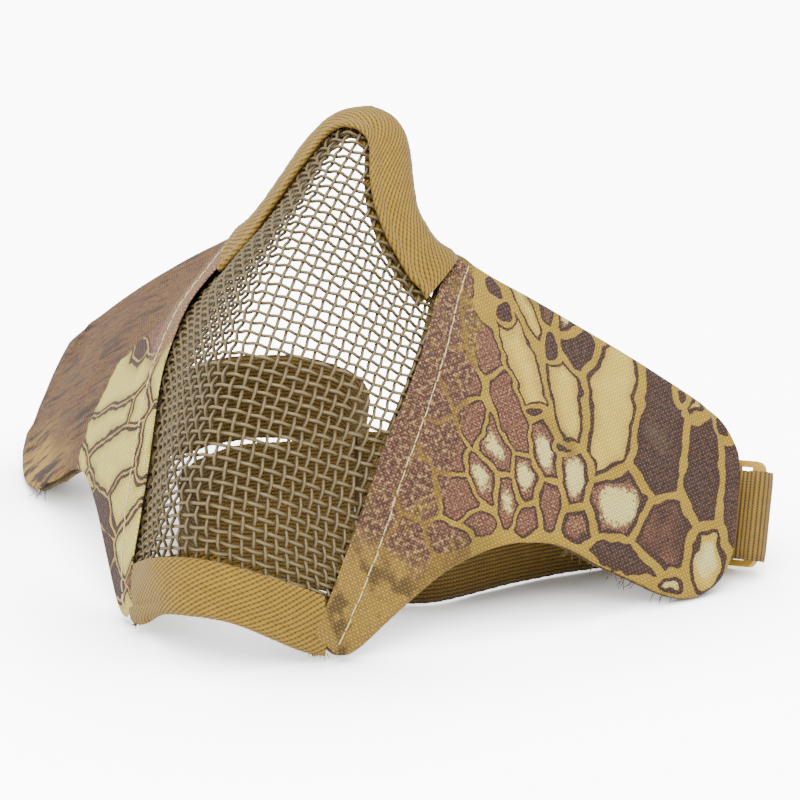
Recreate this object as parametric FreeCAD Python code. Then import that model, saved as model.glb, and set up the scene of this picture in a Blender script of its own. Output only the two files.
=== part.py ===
import FreeCAD, Part
import math
import os

# Half face mask: dished woven-wire front panel, fabric-bound nose and chin edges,
# two padded cheek wings, and a head strap through a tri-glide buckle on each wing.
# Millimetres, +Z up, +X the wearer's left; the wearer's face looks towards -Y.
# The mask lies on its chin, wing edges and strap, on the plane z = 0.
# Pieces named "right" are on the +X side and pieces named "left" on the -X side,
# as seen by someone facing the wearer.

os.makedirs("parts", exist_ok=True)

RIGHT, LEFT = 1, -1            # sign of x on each side
SHIFT = (-0.45, -51.68, 0.6)   # from the frame of the tables below to the output frame

# ---- driving dimensions ----------------------------------------------------
WIRE_D = 0.95                  # wire diameter
WIRE_PITCH = 3.175             # 8 wires per inch
WIRE_LAYER = 0.56              # half distance between the two wire layers
SIDE_DIP = 2.6                 # the wire sides lie this far below the hem surface
HEM_COVERED = 3.4              # wire length hidden below the side hems
NOSE_COVERED = 1.6             # wire length hidden below the nose binding
CHIN_COVERED = 1.8             # wire length hidden below the chin binding
TAPE_T = 1.3                   # nose and chin binding tape thickness
TAPE_INNER = 1.44              # wire mid surface to the near face of the tape
COVER_T = 0.9                  # outer wing fabric
FOAM_T = 2.4                   # wing foam
LINING_T = 0.7                 # wing lining
FACING_DROP = 1.40             # the seam facing lies this much deeper than the lining
LAYER_GAP = 0.1                # air between stacked layers
HEM_END = 8.2                  # hem edge farthest from the seam, in wing s
WING_START = 10.8              # wing panel starts here, in wing s
LINING_INSET = 0.8             # lining stops this far inside the cover outline
FOAM_INSET = 5.0               # foam stops this far inside the right cover outline
WEB_W = 25.0                   # strap and tab webbing width
WEB_T = 1.5                    # strap thickness
TAB_T = 1.3                    # tab webbing thickness
GLIDE_L = 30.0                 # tri-glide length (across the webbing)
GLIDE_W = 18.0                 # tri-glide width (along the webbing)
GLIDE_T = 3.0                  # tri-glide thickness
SLOT_L = 26.4                  # tri-glide slot length
SLOT_W = 4.4                   # tri-glide slot width
THREAD_D = 0.55                # seam thread diameter
STITCH = 3.0                   # stitch length
STITCH_STEP = 3.9              # stitch spacing


# ---- vectors, curves and lofts ---------------------------------------------
def add(a, b):
    return (a[0] + b[0], a[1] + b[1], a[2] + b[2])


def sub(a, b):
    return (a[0] - b[0], a[1] - b[1], a[2] - b[2])


def mul(a, factor):
    return (a[0] * factor, a[1] * factor, a[2] * factor)


def dot(a, b):
    return a[0] * b[0] + a[1] * b[1] + a[2] * b[2]


def cross(a, b):
    return (a[1] * b[2] - a[2] * b[1], a[2] * b[0] - a[0] * b[2], a[0] * b[1] - a[1] * b[0])


def norm(a):
    return math.sqrt(dot(a, a))


def unit(a):
    return mul(a, 1.0 / norm(a))


def lerp(a, b, share):
    return add(mul(a, 1 - share), mul(b, share))


def ease(share):
    """Smooth step from 0 to 1, clamped at both ends."""
    share = min(1.0, max(0.0, share))
    return share * share * (3 - 2 * share)


def locate(origin, axes, coordinates):
    """Point at the given coordinates along the axes of a local frame."""
    for axis, coordinate in zip(axes, coordinates):
        origin = add(origin, mul(axis, coordinate))
    return origin


def on_side(point, side):
    """Mirror a +X point or direction when the side is LEFT."""
    return (side * point[0], point[1], point[2])


def placed(point):
    return FreeCAD.Vector(*add(point, SHIFT))


def curve(rows, column=1):
    """Cubic through one column of a table against column 0; straight beyond its ends."""
    xs = [row[0] for row in rows]
    ys = [row[column] for row in rows]
    chords = [(ys[i + 1] - ys[i]) / (xs[i + 1] - xs[i]) for i in range(len(xs) - 1)]
    inner = [0.5 * (after + before) for before, after in zip(chords, chords[1:])]
    slopes = [chords[0]] + inner + [chords[-1]]

    def value(x):
        if x <= xs[0]:
            return ys[0] + slopes[0] * (x - xs[0])
        if x >= xs[-1]:
            return ys[-1] + slopes[-1] * (x - xs[-1])
        i = 0
        while x > xs[i + 1]:
            i += 1
        width = xs[i + 1] - xs[i]
        t = (x - xs[i]) / width
        return ((2 * t ** 3 - 3 * t ** 2 + 1) * ys[i]
                + (t ** 3 - 2 * t ** 2 + t) * width * slopes[i]
                + (-2 * t ** 3 + 3 * t ** 2) * ys[i + 1]
                + (t ** 3 - t ** 2) * width * slopes[i + 1])
    return value


def smooth_path(points, step):
    """Spline through the points, resampled evenly at about the given step."""
    rows = [(0.0,) + points[0]]
    for before, point in zip(points, points[1:]):
        rows.append((rows[-1][0] + norm(sub(point, before)),) + point)
    length = rows[-1][0]
    x_at, y_at, z_at = [curve(rows, column) for column in (1, 2, 3)]
    count = max(3, int(round(length / step)))
    stations = [length * i / count for i in range(count + 1)]
    return [(x_at(d), y_at(d), z_at(d)) for d in stations]


def outward(solid):
    """Turn an inside-out solid the right way."""
    if solid.Volume < 0:
        solid.reverse()
    return solid


def polygon(points):
    corners = [placed(point) for point in points]
    return Part.makePolygon(corners + [corners[0]])


def loft(rings, ruled=False):
    return outward(Part.makeLoft([polygon(ring) for ring in rings], True, ruled))


def tangent_at(points, i):
    return unit(sub(points[min(len(points) - 1, i + 1)], points[max(0, i - 1)]))


# ---- front panel surface ---------------------------------------------------
# Panel frame: x across, h up the panel, n out of it.
PANEL_ORIGIN = (0.0, -12.47, 27.83)
PANEL_AXES = ((1.0, 0.0, 0.0), (0.0, 0.69111, 0.72275), (0.0, -0.72275, 0.69111))

# h, n of the centre ridge
ridge_n = curve([
    (-8, -4.5), (-2, 1.6), (0, 3.8), (5, 8.8), (10, 12.4), (14, 14.5), (22, 17.8),
    (32, 20.8), (38.5, 21.6), (54, 22.0), (67, 20.6), (78, 18.8), (85, 16.8), (99, 12.0),
    (115, 5.8), (130.4, 0.0), (136, -2.2)])
# h, half width x and n of the side edges
SIDE_EDGE = [
    (-9.4, 26.9, -17.2), (0.4, 29.1, -14.3), (12.4, 30.5, -12.9), (27, 32.1, -11),
    (41.4, 33.8, -8.7), (54, 35.5, -7.9), (65.3, 36, -8.4), (77.9, 35.5, -10.6),
    (91.3, 33, -15.5), (99, 30, -19), (104, 28.5, -19.5), (110, 26, -17),
    (116, 24, -14.5), (126, 20, -13.8), (136, 17, -14)]
side_x = curve(SIDE_EDGE, 1)
side_n = curve(SIDE_EDGE, 2)
# h, roundness of the ridge in cross section
ridge_round = curve([
    (-8, 18), (13, 16), (26, 12), (36, 9), (60, 8), (80, 7.5), (100, 7), (116, 6), (130, 6)])
# h on the ridge, rise of a weft wire from ridge to side edge
weft_rise = curve([
    (-8, 1.5), (0, 2.2), (13, 2.8), (35, 6.0), (60, 4.6), (78, 2.3), (100, 0.4), (130, 0.0)])
# h, half width of the wire panel at its nose edge
NOSE_EDGE = [
    (91.0, 32.4), (91.6, 29.4), (92.7, 26.9), (94.8, 24.3), (96.9, 22.1), (99.3, 19.5),
    (101.7, 17.2), (104.4, 15.3), (108.1, 13.1), (112, 11.3), (116.1, 9.7), (122.4, 7.7),
    (125.9, 6.4), (128.6, 4.7), (130.2, 1.5)]
nose_x = curve(NOSE_EDGE)
NOSE_START, NOSE_TOP = NOSE_EDGE[0][0], NOSE_EDGE[-1][0]
SLOPE_STEP = 0.05              # half span of the surface slope measurement


def panel_drop(x, h):
    """Share of the drop from ridge (0) to side edge (1)."""
    e = ridge_round(h)
    edge = side_x(h)
    return (math.sqrt(x * x + e * e) - e) / (math.sqrt(edge * edge + e * e) - e)


def panel_n(x, h):
    return ridge_n(h) - (ridge_n(h) - side_n(h)) * panel_drop(x, h)


def panel(x, h, offset=0.0):
    """Point on the panel surface, moved out along its normal."""
    d = SLOPE_STEP
    slope_x = (panel_n(x + d, h) - panel_n(x - d, h)) / (2 * d)
    slope_h = (panel_n(x, h + d) - panel_n(x, h - d)) / (2 * d)
    normal = unit((-slope_x, -slope_h, 1.0))
    local = add((x, h, panel_n(x, h)), mul(normal, offset))
    return locate(PANEL_ORIGIN, PANEL_AXES, local)


def wire_point(x, h, offset=0.0):
    """Point on the wire panel; the sides dip so that the hems lie on top."""
    return panel(x, h, offset - SIDE_DIP * ease((abs(x) / side_x(h) - 0.5) / 0.5))


# ---- woven wire ------------------------------------------------------------
RIDGE_STEP = 0.05              # step in h while measuring along the ridge
ROWS_END_H = 134.0             # no wire row starts above this
CROSS_STEP = 0.5               # step in x while measuring across the panel
CROSS_END_X = 42.0
WARP_EACH_SIDE = 16            # warp wires on each side of the centre one
WEFT_MIN_HALF = 2.5            # shorter half wires are left out
WEFT_STATION = 7.0             # rough spacing of the weft loft rings
WEFT_TRIM = 1.0                # extra trim of each weft end where h is in WEFT_TRIM_H
WEFT_TRIM_H = (96.0, 108.0)
WARP_MIN_POINTS = 6            # shorter warp runs are left out
WARP_THINNING = 5              # one warp point in this many is kept
MIN_RINGS = 5                  # fewest loft rings in a wire
PIPE_SIDES = 8
PIPE_REFERENCE = (0.31, -0.67, 0.67)   # sets how the flats of the wire are turned


def has_wire(x, h):
    """Is the wire present at this place of the panel?"""
    if h > NOSE_START - NOSE_COVERED * 0.3:
        if h > NOSE_TOP + NOSE_COVERED:
            return False
        edge_h = min(max(h - NOSE_COVERED * 0.75, NOSE_START), NOSE_TOP)
        if abs(x) > nose_x(edge_h) + NOSE_COVERED * 0.62:
            return False
    chin_trim = 1.2 if h < 0 else 0.0
    return abs(x) <= side_x(h) + HEM_COVERED * 0.72 - chin_trim


def ridge_rows():
    """(row number, h) of the wire rows, one pitch apart along the ridge."""
    h = -CHIN_COVERED * 0.7
    heights = [h]
    previous = panel(0.0, h)
    travelled = 0.0
    h += RIDGE_STEP
    while h < ROWS_END_H:
        point = panel(0.0, h)
        travelled += norm(sub(point, previous))
        if travelled >= WIRE_PITCH:
            heights.append(h)
            travelled -= WIRE_PITCH
        previous = point
        h += RIDGE_STEP
    return [(float(i), height) for i, height in enumerate(heights)]


def cross_section(ridge_h):
    """Half cross section of the panel from the ridge: list of (arc, x, h)."""
    rise = weft_rise(ridge_h)
    section = [(0.0, 0.0, ridge_h)]
    x = 0.0
    arc = 0.0
    previous = panel(0.0, ridge_h)
    while x < CROSS_END_X:
        x += CROSS_STEP
        h = ridge_h + rise * panel_drop(x, ridge_h)
        point = panel(x, h)
        arc += norm(sub(point, previous))
        previous = point
        section.append((arc, x, h))
    return section


def at_arc(section, arc):
    """(x, h) at a signed arc length from the ridge."""
    sign = 1.0 if arc >= 0 else -1.0
    for (arc0, x0, h0), (arc1, x1, h1) in zip(section, section[1:]):
        if arc1 >= abs(arc):
            t = (abs(arc) - arc0) / (arc1 - arc0)
            return (sign * (x0 + t * (x1 - x0)), h0 + t * (h1 - h0))
    return (sign * section[-1][1], section[-1][2])


def pipe(points):
    """Eight-sided wire along the points, with the section area of the round wire."""
    corner = math.pi / PIPE_SIDES
    radius = WIRE_D / 2.0 * math.sqrt(
        math.pi / (PIPE_SIDES * math.sin(corner) * math.cos(corner)))
    angles = [2 * corner * (k + 0.5) for k in range(PIPE_SIDES)]
    rings = []
    for i, point in enumerate(points):
        tangent = tangent_at(points, i)
        across = unit(cross(tangent, PIPE_REFERENCE))
        axes = (across, cross(tangent, across))
        rings.append([locate(point, axes, (radius * math.cos(angle), radius * math.sin(angle)))
                      for angle in angles])
    return loft(rings)


def weft_wires(sections):
    """Crosswise wires, in the outer layer."""
    wires = []
    for section in sections:
        limit = 0.0
        for arc, x, h in section:
            if not has_wire(x, h):
                break
            limit = arc - (WEFT_TRIM if WEFT_TRIM_H[0] < h < WEFT_TRIM_H[1] else 0.0)
        if limit < WEFT_MIN_HALF:
            continue
        count = max(MIN_RINGS, int(2 * limit / WEFT_STATION) | 1)
        places = [at_arc(section, -limit + 2.0 * limit * k / (count - 1)) for k in range(count)]
        wires.append(pipe([wire_point(x, h, WIRE_LAYER) for x, h in places]))
    return Part.makeCompound(wires)


def thin(points, keep):
    """Evenly keep this many of the points, always both ends."""
    step = (len(points) - 1.0) / (keep - 1)
    return [points[int(round(i * step))] for i in range(keep)]


def warp_wires(sections):
    """Lengthwise wires, in the inner layer; one may be split into several runs."""
    wires = []
    for j in range(-WARP_EACH_SIDE, WARP_EACH_SIDE + 1):
        runs = [[]]
        for section in sections:
            x, h = at_arc(section, j * WIRE_PITCH)
            if has_wire(x, h):
                runs[-1].append(wire_point(x, h, -WIRE_LAYER))
            elif runs[-1]:
                runs.append([])
        for run in runs:
            if len(run) >= WARP_MIN_POINTS:
                wires.append(pipe(thin(run, max(MIN_RINGS, len(run) // WARP_THINNING))))
    return Part.makeCompound(wires)


# ---- nose and chin bindings ------------------------------------------------
PAD_GAP = 0.15                 # clearance used in the nose padding section
PAD_START = NOSE_COVERED + 0.9  # padding starts this far from the wire panel edge
CHIN_END_X = 25.3              # the chin binding runs from -x to +x of this
CHIN_RING_COUNT = 17

# x and h of the binding edge on the wire panel, then x, h, n of its far edge
NOSE_STATIONS = [
    (0.0, 130.4, 0.0, 143.7, -12.8), (2.4, 130.1, 4.6, 142.2, -12.2),
    (4.7, 128.7, 8.8, 139.6, -11.7), (6.4, 125.9, 12.0, 135.8, -11.7),
    (7.7, 122.4, 14.3, 131.2, -11.5), (9.7, 116.1, 16.1, 126.8, -11.8),
    (11.3, 112.0, 17.5, 122.8, -12.2), (13.1, 108.1, 18.9, 119.2, -12.8),
    (15.3, 104.4, 20.3, 116.2, -13.4), (17.2, 101.7, 21.8, 114.0, -14.5),
    (19.5, 99.3, 23.6, 112.0, -16.0), (22.1, 96.9, 25.3, 110.4, -17.3),
    (24.3, 94.8, 27.0, 109.3, -18.5), (26.9, 93.0, 28.7, 108.7, -20.0),
    (28.9, 92.2, 30.0, 108.5, -21.2)]
# |x|, y, z of the far edge of the chin binding
CHIN_FAR_EDGE = [
    (0, -20.6, 15.4), (6.8, -20.0, 14.6), (11.5, -18.2, 12.9), (15.2, -15.0, 10.4),
    (18.9, -11.2, 7.6), (22.8, -7.6, 4.6), (25.9, -4.6, 2.4), (28.5, -2.2, 1.2)]
chin_y = curve(CHIN_FAR_EDGE, 1)
chin_z = curve(CHIN_FAR_EDGE, 2)


def binding_ring(x, h, far, corners_for):
    """Ring of a binding from the wire panel at (x, h) to the point far.

    corners_for(length) gives rows of (base, run, rise): run is towards the far edge.
    Base "near" starts at the wire edge and rises along the panel normal, "mid" starts
    there too and rises square to the run, "far" starts at the far edge, also square.
    """
    near = wire_point(x, h)
    normal = unit(sub(wire_point(x, h, 1.0), near))
    along = unit(sub(far, near))
    square = unit(sub(normal, mul(along, dot(normal, along))))
    bases = {"near": (near, normal), "mid": (near, square), "far": (far, square)}
    ring = []
    for base, run, rise in corners_for(norm(sub(far, near))):
        start, up = bases[base]
        ring.append(locate(start, (along, up), (run, rise)))
    return ring


def nose_tape_corners(length):
    inner = TAPE_INNER
    outer = TAPE_INNER + TAPE_T
    middle = TAPE_INNER + TAPE_T * 0.5
    return [
        ("near", 0.0, inner), ("near", -0.55, middle), ("near", 0.0, outer),
        ("mid", length * 0.35, outer + 1.2), ("mid", length * 0.75, outer + 0.6),
        ("far", 0.0, 0.3), ("far", 0.0, -2.0),
        ("mid", length * 0.75, -outer - 1.0), ("mid", length * 0.35, -outer - 0.8),
        ("near", 0.0, -outer), ("near", -0.4, -middle), ("near", 0.0, -inner),
        ("mid", length * 0.35, -inner - 0.8), ("mid", length * 0.75, -inner - 0.9),
        ("far", -TAPE_T, -1.6), ("far", -TAPE_T, -0.1),
        ("mid", length * 0.75, inner + 0.5), ("mid", length * 0.35, inner + 1.1)]


def nose_padding_corners(length):
    inner = TAPE_INNER
    end = -TAPE_T - PAD_GAP - 0.6
    return [
        ("mid", PAD_START, inner * 0.8),
        ("mid", length * 0.40, inner + 1.0 - PAD_GAP),
        ("mid", length * 0.74, inner + 0.4 - PAD_GAP),
        ("far", end, -0.3), ("far", end, -1.4),
        ("mid", length * 0.74, -inner - 0.7 + PAD_GAP),
        ("mid", length * 0.40, -inner - 0.6 + PAD_GAP),
        ("mid", PAD_START, -inner * 0.8)]


def chin_tape_corners(length):
    inner = TAPE_INNER
    outer = TAPE_INNER + TAPE_T
    middle = TAPE_INNER + TAPE_T * 0.5
    return [
        ("near", 0.0, inner), ("near", -0.35, middle), ("near", 0.0, outer),
        ("mid", length * 0.5, outer + 0.2),
        ("far", -1.2, 0.9), ("far", 0.0, -0.2), ("far", 0.0, -2.2), ("far", -1.2, -3.3),
        ("mid", length * 0.5, -outer - 0.5),
        ("near", 0.0, -outer), ("near", -0.35, -middle), ("near", 0.0, -inner),
        ("mid", length * 0.5, -inner - 0.5),
        ("far", -2.4, -1.7), ("far", -2.4, -0.7),
        ("mid", length * 0.5, inner + 0.2)]


def nose_piece(corners_for):
    """Loft over the nose from the -X end to the +X end."""
    half = [binding_ring(x, h, locate(PANEL_ORIGIN, PANEL_AXES, far), corners_for)
            for x, h, *far in NOSE_STATIONS]
    mirrored = [[on_side(point, LEFT) for point in ring] for ring in reversed(half[1:])]
    return loft(mirrored + half)


def chin_binding():
    rings = []
    for k in range(CHIN_RING_COUNT):
        x = -CHIN_END_X + 2 * CHIN_END_X * k / (CHIN_RING_COUNT - 1.0)
        h = -0.5 + 0.5 * (x / CHIN_END_X) ** 2
        far = (x, chin_y(abs(x)), chin_z(abs(x)))
        rings.append(binding_ring(x, h, far, chin_tape_corners))
    return loft(rings)


# ---- wing surface ----------------------------------------------------------
# Wing frame on the +X side: s rearward from the seam, t up along it, w outward.
WING_ORIGIN = (31.2, 20.0, 45.0)
WING_S = (0.72296466, 0.48082578, -0.49611357)
WING_T = (0.0326703, 0.69348798, 0.71972708)
WING_W = (0.69011213, -0.53654543, 0.48565858)
WING_AXES = (WING_S, WING_T, WING_W)
SEAM_BLEND = 26.0              # the seam shape fades out over this distance in s

# t, s of the seam
seam_s = curve([
    (-46, 2.3), (-44.4, 2.0), (-34.5, 1.3), (-22.5, 1.0), (-7.9, 0.4), (6.6, -0.4),
    (19.2, -0.2), (30.5, 0.5), (43.1, 1.0), (56.6, 2.0), (66, 3.6), (74.0, 5.4), (76, 5.8)])
# t, w of the seam
seam_w = curve([
    (-46, -7.4), (-44.4, -6.2), (-34.5, -2.8), (-22.5, -1.0), (-7.9, 1.2), (6.6, 3.9),
    (19.2, 5.5), (30.5, 5.0), (43.1, 3.2), (56.6, -2.1), (74.0, -9.5)])


def wing_crown(s, t):
    """Height w of the domed wing, before it is bent to meet the seam."""
    return (4.92936 + 0.00225 * s + 0.10058 * t
            - 0.00093 * s * s + 0.00181 * s * t - 0.00415 * t * t)


def wing(s, t, offset=0.0):
    """Point on the +X wing surface, moved outward along w."""
    start = seam_s(t)
    fade = max(0.0, 1.0 - (s - start) / SEAM_BLEND)
    w = wing_crown(s, t) + (seam_w(t) - wing_crown(start, t)) * fade * fade
    return locate(WING_ORIGIN, WING_AXES, (s, t, w + offset))


# ---- wing outlines ---------------------------------------------------------
# (s, t) points; both wings share the top edge and the chin end
TOP_EDGE = [
    (WING_START, 72.9), (17.7, 71.8), (30.5, 70.7), (46.4, 69.0), (63.6, 67.4), (73.4, 66.3),
    (87.4, 64.6)]
CHIN_END = [
    (24.2, -23.6), (21.2, -29.8), (19.0, -34.8), (16.8, -40.0), (14.6, -43.8), (13.0, -45.4),
    (WING_START, -46.2)]
# the right wing has a rounded upper rear corner
RIGHT_OUTLINE = TOP_EDGE + [
    (93.6, 63.4), (97.6, 61.2), (101.4, 57.6), (104.0, 53.9), (105.6, 45.1), (107.8, 36.8),
    (109.6, 28.6), (110.0, 23.0), (108.8, 17.8), (105.4, 12.9), (101.0, 9.6), (96.0, 7.8),
    (89.9, 6.9), (81.0, 6.4), (70.7, 5.6), (61.8, 5.7), (55.5, 4.9), (50.0, 2.8),
    (44.0, -0.2), (38.2, -4.6), (32.4, -10.6), (27.3, -17.6)] + CHIN_END
# the left wing has a sharp upper rear corner and a small tongue on its rear edge
LEFT_OUTLINE = TOP_EDGE + [
    (98.0, 63.4), (106.0, 62.9), (109.4, 62.2), (110.4, 60.2), (109.6, 55.6), (108.7, 48.0),
    (108.3, 40.5), (110.6, 35.6), (115.6, 33.6), (118.6, 31.6), (118.2, 27.4), (115.0, 21.6),
    (111.8, 17.6), (107.0, 13.6), (101.0, 10.6), (96.0, 8.6), (89.9, 7.3), (81.0, 6.4),
    (70.7, 5.0), (61.8, 4.6), (55.5, 4.0), (50.0, 2.4), (44.0, -0.2), (38.2, -4.6),
    (32.4, -10.9), (27.3, -17.8)] + CHIN_END
OUTLINES = {RIGHT: RIGHT_OUTLINE, LEFT: LEFT_OUTLINE}
FOAM_LOWEST_T = -30.0          # the narrow chin end of the foam is cut off here


def inset(outline, distance):
    """Move every outline point inwards along the local normal."""
    count = len(outline)
    area = 0.0
    for i in range(count):
        here, after = outline[i], outline[(i + 1) % count]
        area += here[0] * after[1] - after[0] * here[1]
    turn = 1.0 if area > 0 else -1.0

    def edge_normal(start, end):
        ds, dt = end[0] - start[0], end[1] - start[1]
        length = math.hypot(ds, dt)
        return (-dt / length * turn, ds / length * turn)

    moved = []
    for i in range(count):
        here = outline[i]
        before = edge_normal(outline[i - 1], here)
        after = edge_normal(here, outline[(i + 1) % count])
        mitre = (before[0] + after[0], before[1] + after[1])
        square = mitre[0] ** 2 + mitre[1] ** 2
        # the second value limits the reach at sharp corners
        reach = min(2.0 * distance / square, 2.2 * distance / math.sqrt(square))
        moved.append((here[0] + mitre[0] * reach, here[1] + mitre[1] * reach))
    return moved


# ---- wing layers -----------------------------------------------------------
def layer_below(depths, thickness):
    top = depths[1] - LAYER_GAP
    return (top, top - thickness)


# (top, bottom) offsets from the wing surface
COVER_DEPTHS = (0.0, -COVER_T)
FOAM_DEPTHS = layer_below(COVER_DEPTHS, FOAM_T)
LINING_DEPTHS = layer_below(FOAM_DEPTHS, LINING_T)
FACING_DEPTHS = tuple(depth - FACING_DROP for depth in LINING_DEPTHS)

SLAB_S_START = WING_START - 1.5
SLAB_S_END = {RIGHT: 112.0, LEFT: 121.0}   # past the rear edge of each wing
SLAB_T = (-48.0, 75.0)
SLAB_GRID = (13, 15)           # surface points along s and t
CUTTER_REACH = 40.0            # the outline cutter reaches this far to both sides in w
HEM_TOP_T = 73.0
HEM_RING_COUNT = 16
HEM_BOTTOM_T = -44.5
FACING_BOTTOM_T = -43.0
STITCH_S = 7.0                 # the stitch row lies here
STITCH_T = (-42.5, 71.0)       # and runs between these
STITCH_LIFT = THREAD_D / 2 + 0.06


def slab(side, depths):
    """Solid between two offset copies of the wing surface."""
    s_count, t_count = SLAB_GRID

    def surface(offset):
        grid = []
        for i in range(s_count):
            s = SLAB_S_START + (SLAB_S_END[side] - SLAB_S_START) * i / (s_count - 1.0)
            ts = [SLAB_T[0] + (SLAB_T[1] - SLAB_T[0]) * j / (t_count - 1.0)
                  for j in range(t_count)]
            grid.append([placed(on_side(wing(s, t, offset), side)) for t in ts])
        spline = Part.BSplineSurface()
        spline.interpolate(grid)
        return spline

    def borders(spline):
        u0, u1, v0, v1 = spline.bounds()
        return [spline.uIso(u0), spline.uIso(u1), spline.vIso(v0), spline.vIso(v1)]

    top, bottom = [surface(depth) for depth in depths]
    faces = [top.toShape(), bottom.toShape()]
    for upper, lower in zip(borders(top), borders(bottom)):
        faces.append(Part.makeRuledSurface(upper.toShape(), lower.toShape()))
    shell = Part.makeShell(faces)
    shell.sewShape()
    return outward(Part.makeSolid(shell))


def outline_cutter(side, outline):
    """The outline extruded through the wing."""
    points = [on_side(locate(WING_ORIGIN, WING_AXES, (s, t, -CUTTER_REACH)), side)
              for s, t in outline]
    through = on_side(mul(WING_W, 2 * CUTTER_REACH), side)
    return Part.Face(polygon(points)).extrude(FreeCAD.Vector(*through))


def wing_layer(side, depths, outline):
    pieces = slab(side, depths).common(outline_cutter(side, outline)).Solids
    return max(pieces, key=lambda piece: piece.Volume)


def wing_cover(side):
    return wing_layer(side, COVER_DEPTHS, OUTLINES[side])


def wing_foam(side):
    """Both wings hold foam of the right wing's outline."""
    outline = [point for point in inset(RIGHT_OUTLINE, FOAM_INSET) if point[1] > FOAM_LOWEST_T]
    return wing_layer(side, FOAM_DEPTHS, outline)


def wing_lining(side):
    return wing_layer(side, LINING_DEPTHS, inset(OUTLINES[side], LINING_INSET))


def seam_strip(side, depths, bottom_t):
    """Strip along the seam, following the wing surface."""
    top, bottom = depths
    rings = []
    for k in range(HEM_RING_COUNT):
        t = bottom_t + (HEM_TOP_T - bottom_t) * k / (HEM_RING_COUNT - 1.0)
        start = seam_s(t)
        stations = [start, (start + HEM_END) / 2, HEM_END]
        corners = [(s, top) for s in stations] + [(s, bottom) for s in reversed(stations)]
        rings.append([on_side(wing(s, t, offset), side) for s, offset in corners])
    return loft(rings)


def seam_stitches(side):
    """Row of short thread bars lying on the hem."""
    bars = []
    t = STITCH_T[0]
    while t + STITCH < STITCH_T[1]:
        start, end = [placed(on_side(wing(STITCH_S, place, STITCH_LIFT), side))
                      for place in (t, t + STITCH)]
        run = end.sub(start)
        bars.append(Part.makeCylinder(THREAD_D / 2.0, run.Length, start, run))
        t += STITCH_STEP
    return Part.makeCompound(bars)


# ---- tri-glides ------------------------------------------------------------
# A glide frame is (centre, (along, up, face)), given on the +X side. "along" runs
# along the webbing towards the fold of the tab; the rear bar and slot are at its
# positive end, the front ones at its negative end.
BAR_W = (GLIDE_W - 2 * SLOT_W) / 3.0
SLOT_CENTRE = BAR_W / 2 + SLOT_W / 2
CORNER_R = 2.6                 # plan corners
RIM_R = 0.6                    # long outer edges
RECESS_HALF_W = 3.0            # recess in the upper end
RECESS_HALF_T = 0.9
RECESS_DEPTH = 0.5


def glide_frame(centre, along, up):
    up = unit(up)
    along = unit(sub(along, mul(up, dot(along, up))))
    return (centre, (along, up, unit(cross(along, up))))


def left_glide_frame():
    """Flat along the inside of its wing, at a place given in wing coordinates."""
    s, t, depth = 98.0, 35.6, -12.4
    return glide_frame(centre=wing(s, t, depth),
                       along=sub(wing(s + 1.0, t), wing(s - 1.0, t)),
                       up=sub(wing(s, t + 1.0), wing(s, t - 1.0)))


# the right tri-glide leans back a little behind the rear edge of its wing
GLIDE_FRAMES = {
    RIGHT: glide_frame(centre=(104.35, 110.03, 14.36), along=(0.985, -0.17, 0.0),
                       up=(-0.06, 0.42, 1.0)),
    LEFT: left_glide_frame()}


def glide_point(side, along, up, face):
    centre, axes = GLIDE_FRAMES[side]
    return on_side(locate(centre, axes, (along, up, face)), side)


def glide_block(side, along, up, face):
    """Box in the glide frame; each argument is a (low, high) pair."""
    corners = [(along[0], up[0]), (along[1], up[0]), (along[1], up[1]), (along[0], up[1])]
    base = Part.Face(polygon([glide_point(side, a, u, face[0]) for a, u in corners]))
    through = sub(glide_point(side, 0, 0, face[1]), glide_point(side, 0, 0, face[0]))
    return base.extrude(FreeCAD.Vector(*through))


def both_ways(half):
    return (-half, half)


def tri_glide(side):
    body = glide_block(side, both_ways(GLIDE_W / 2), both_ways(GLIDE_L / 2),
                       both_ways(GLIDE_T / 2))
    middle = placed(glide_point(side, 0, 0, 0))
    face_axis = placed(glide_point(side, 0, 0, 1)).sub(middle)
    along_axis = placed(glide_point(side, 1, 0, 0)).sub(middle)

    def runs_through(edge):
        ends = edge.Vertexes
        direction = ends[1].Point.sub(ends[0].Point).normalize()
        return abs(abs(direction.dot(face_axis)) - 1) < 1e-6

    body = body.makeFillet(CORNER_R, [edge for edge in body.Edges if runs_through(edge)])
    for centre in (-SLOT_CENTRE, SLOT_CENTRE):
        slot = glide_block(side, (centre - SLOT_W / 2, centre + SLOT_W / 2),
                           both_ways(SLOT_L / 2), both_ways(GLIDE_T))
        body = body.cut(slot)
    recess = glide_block(side, both_ways(RECESS_HALF_W),
                         (GLIDE_L / 2 - RECESS_DEPTH, GLIDE_L / 2 + 1), both_ways(RECESS_HALF_T))
    body = body.cut(recess)

    rim = []
    for edge in body.Edges:
        if len(edge.Vertexes) != 2:
            continue
        offset = edge.CenterOfMass.sub(middle)
        on_face = abs(abs(offset.dot(face_axis)) - GLIDE_T / 2) < 1e-4
        on_end = abs(abs(offset.dot(along_axis)) - GLIDE_W / 2) < 1e-3
        if on_face and on_end:
            rim.append(edge)
    # The rim fillet may fail where it meets the rounded corners; the edges then stay sharp.
    try:
        softened = body.makeFillet(RIM_R, rim)
        if softened.isValid() and softened.Volume > 0.8 * body.Volume:
            body = softened
    except Exception:
        pass
    return body.Solids[0]


# ---- webbing ---------------------------------------------------------------
WORLD_UP = (0.0, 0.0, 1.0)
WEB_DROP = -0.5                # webbing centre below the tri-glide centre
WEB_CLEARANCE = 0.25           # air between webbing and tri-glide faces


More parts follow.
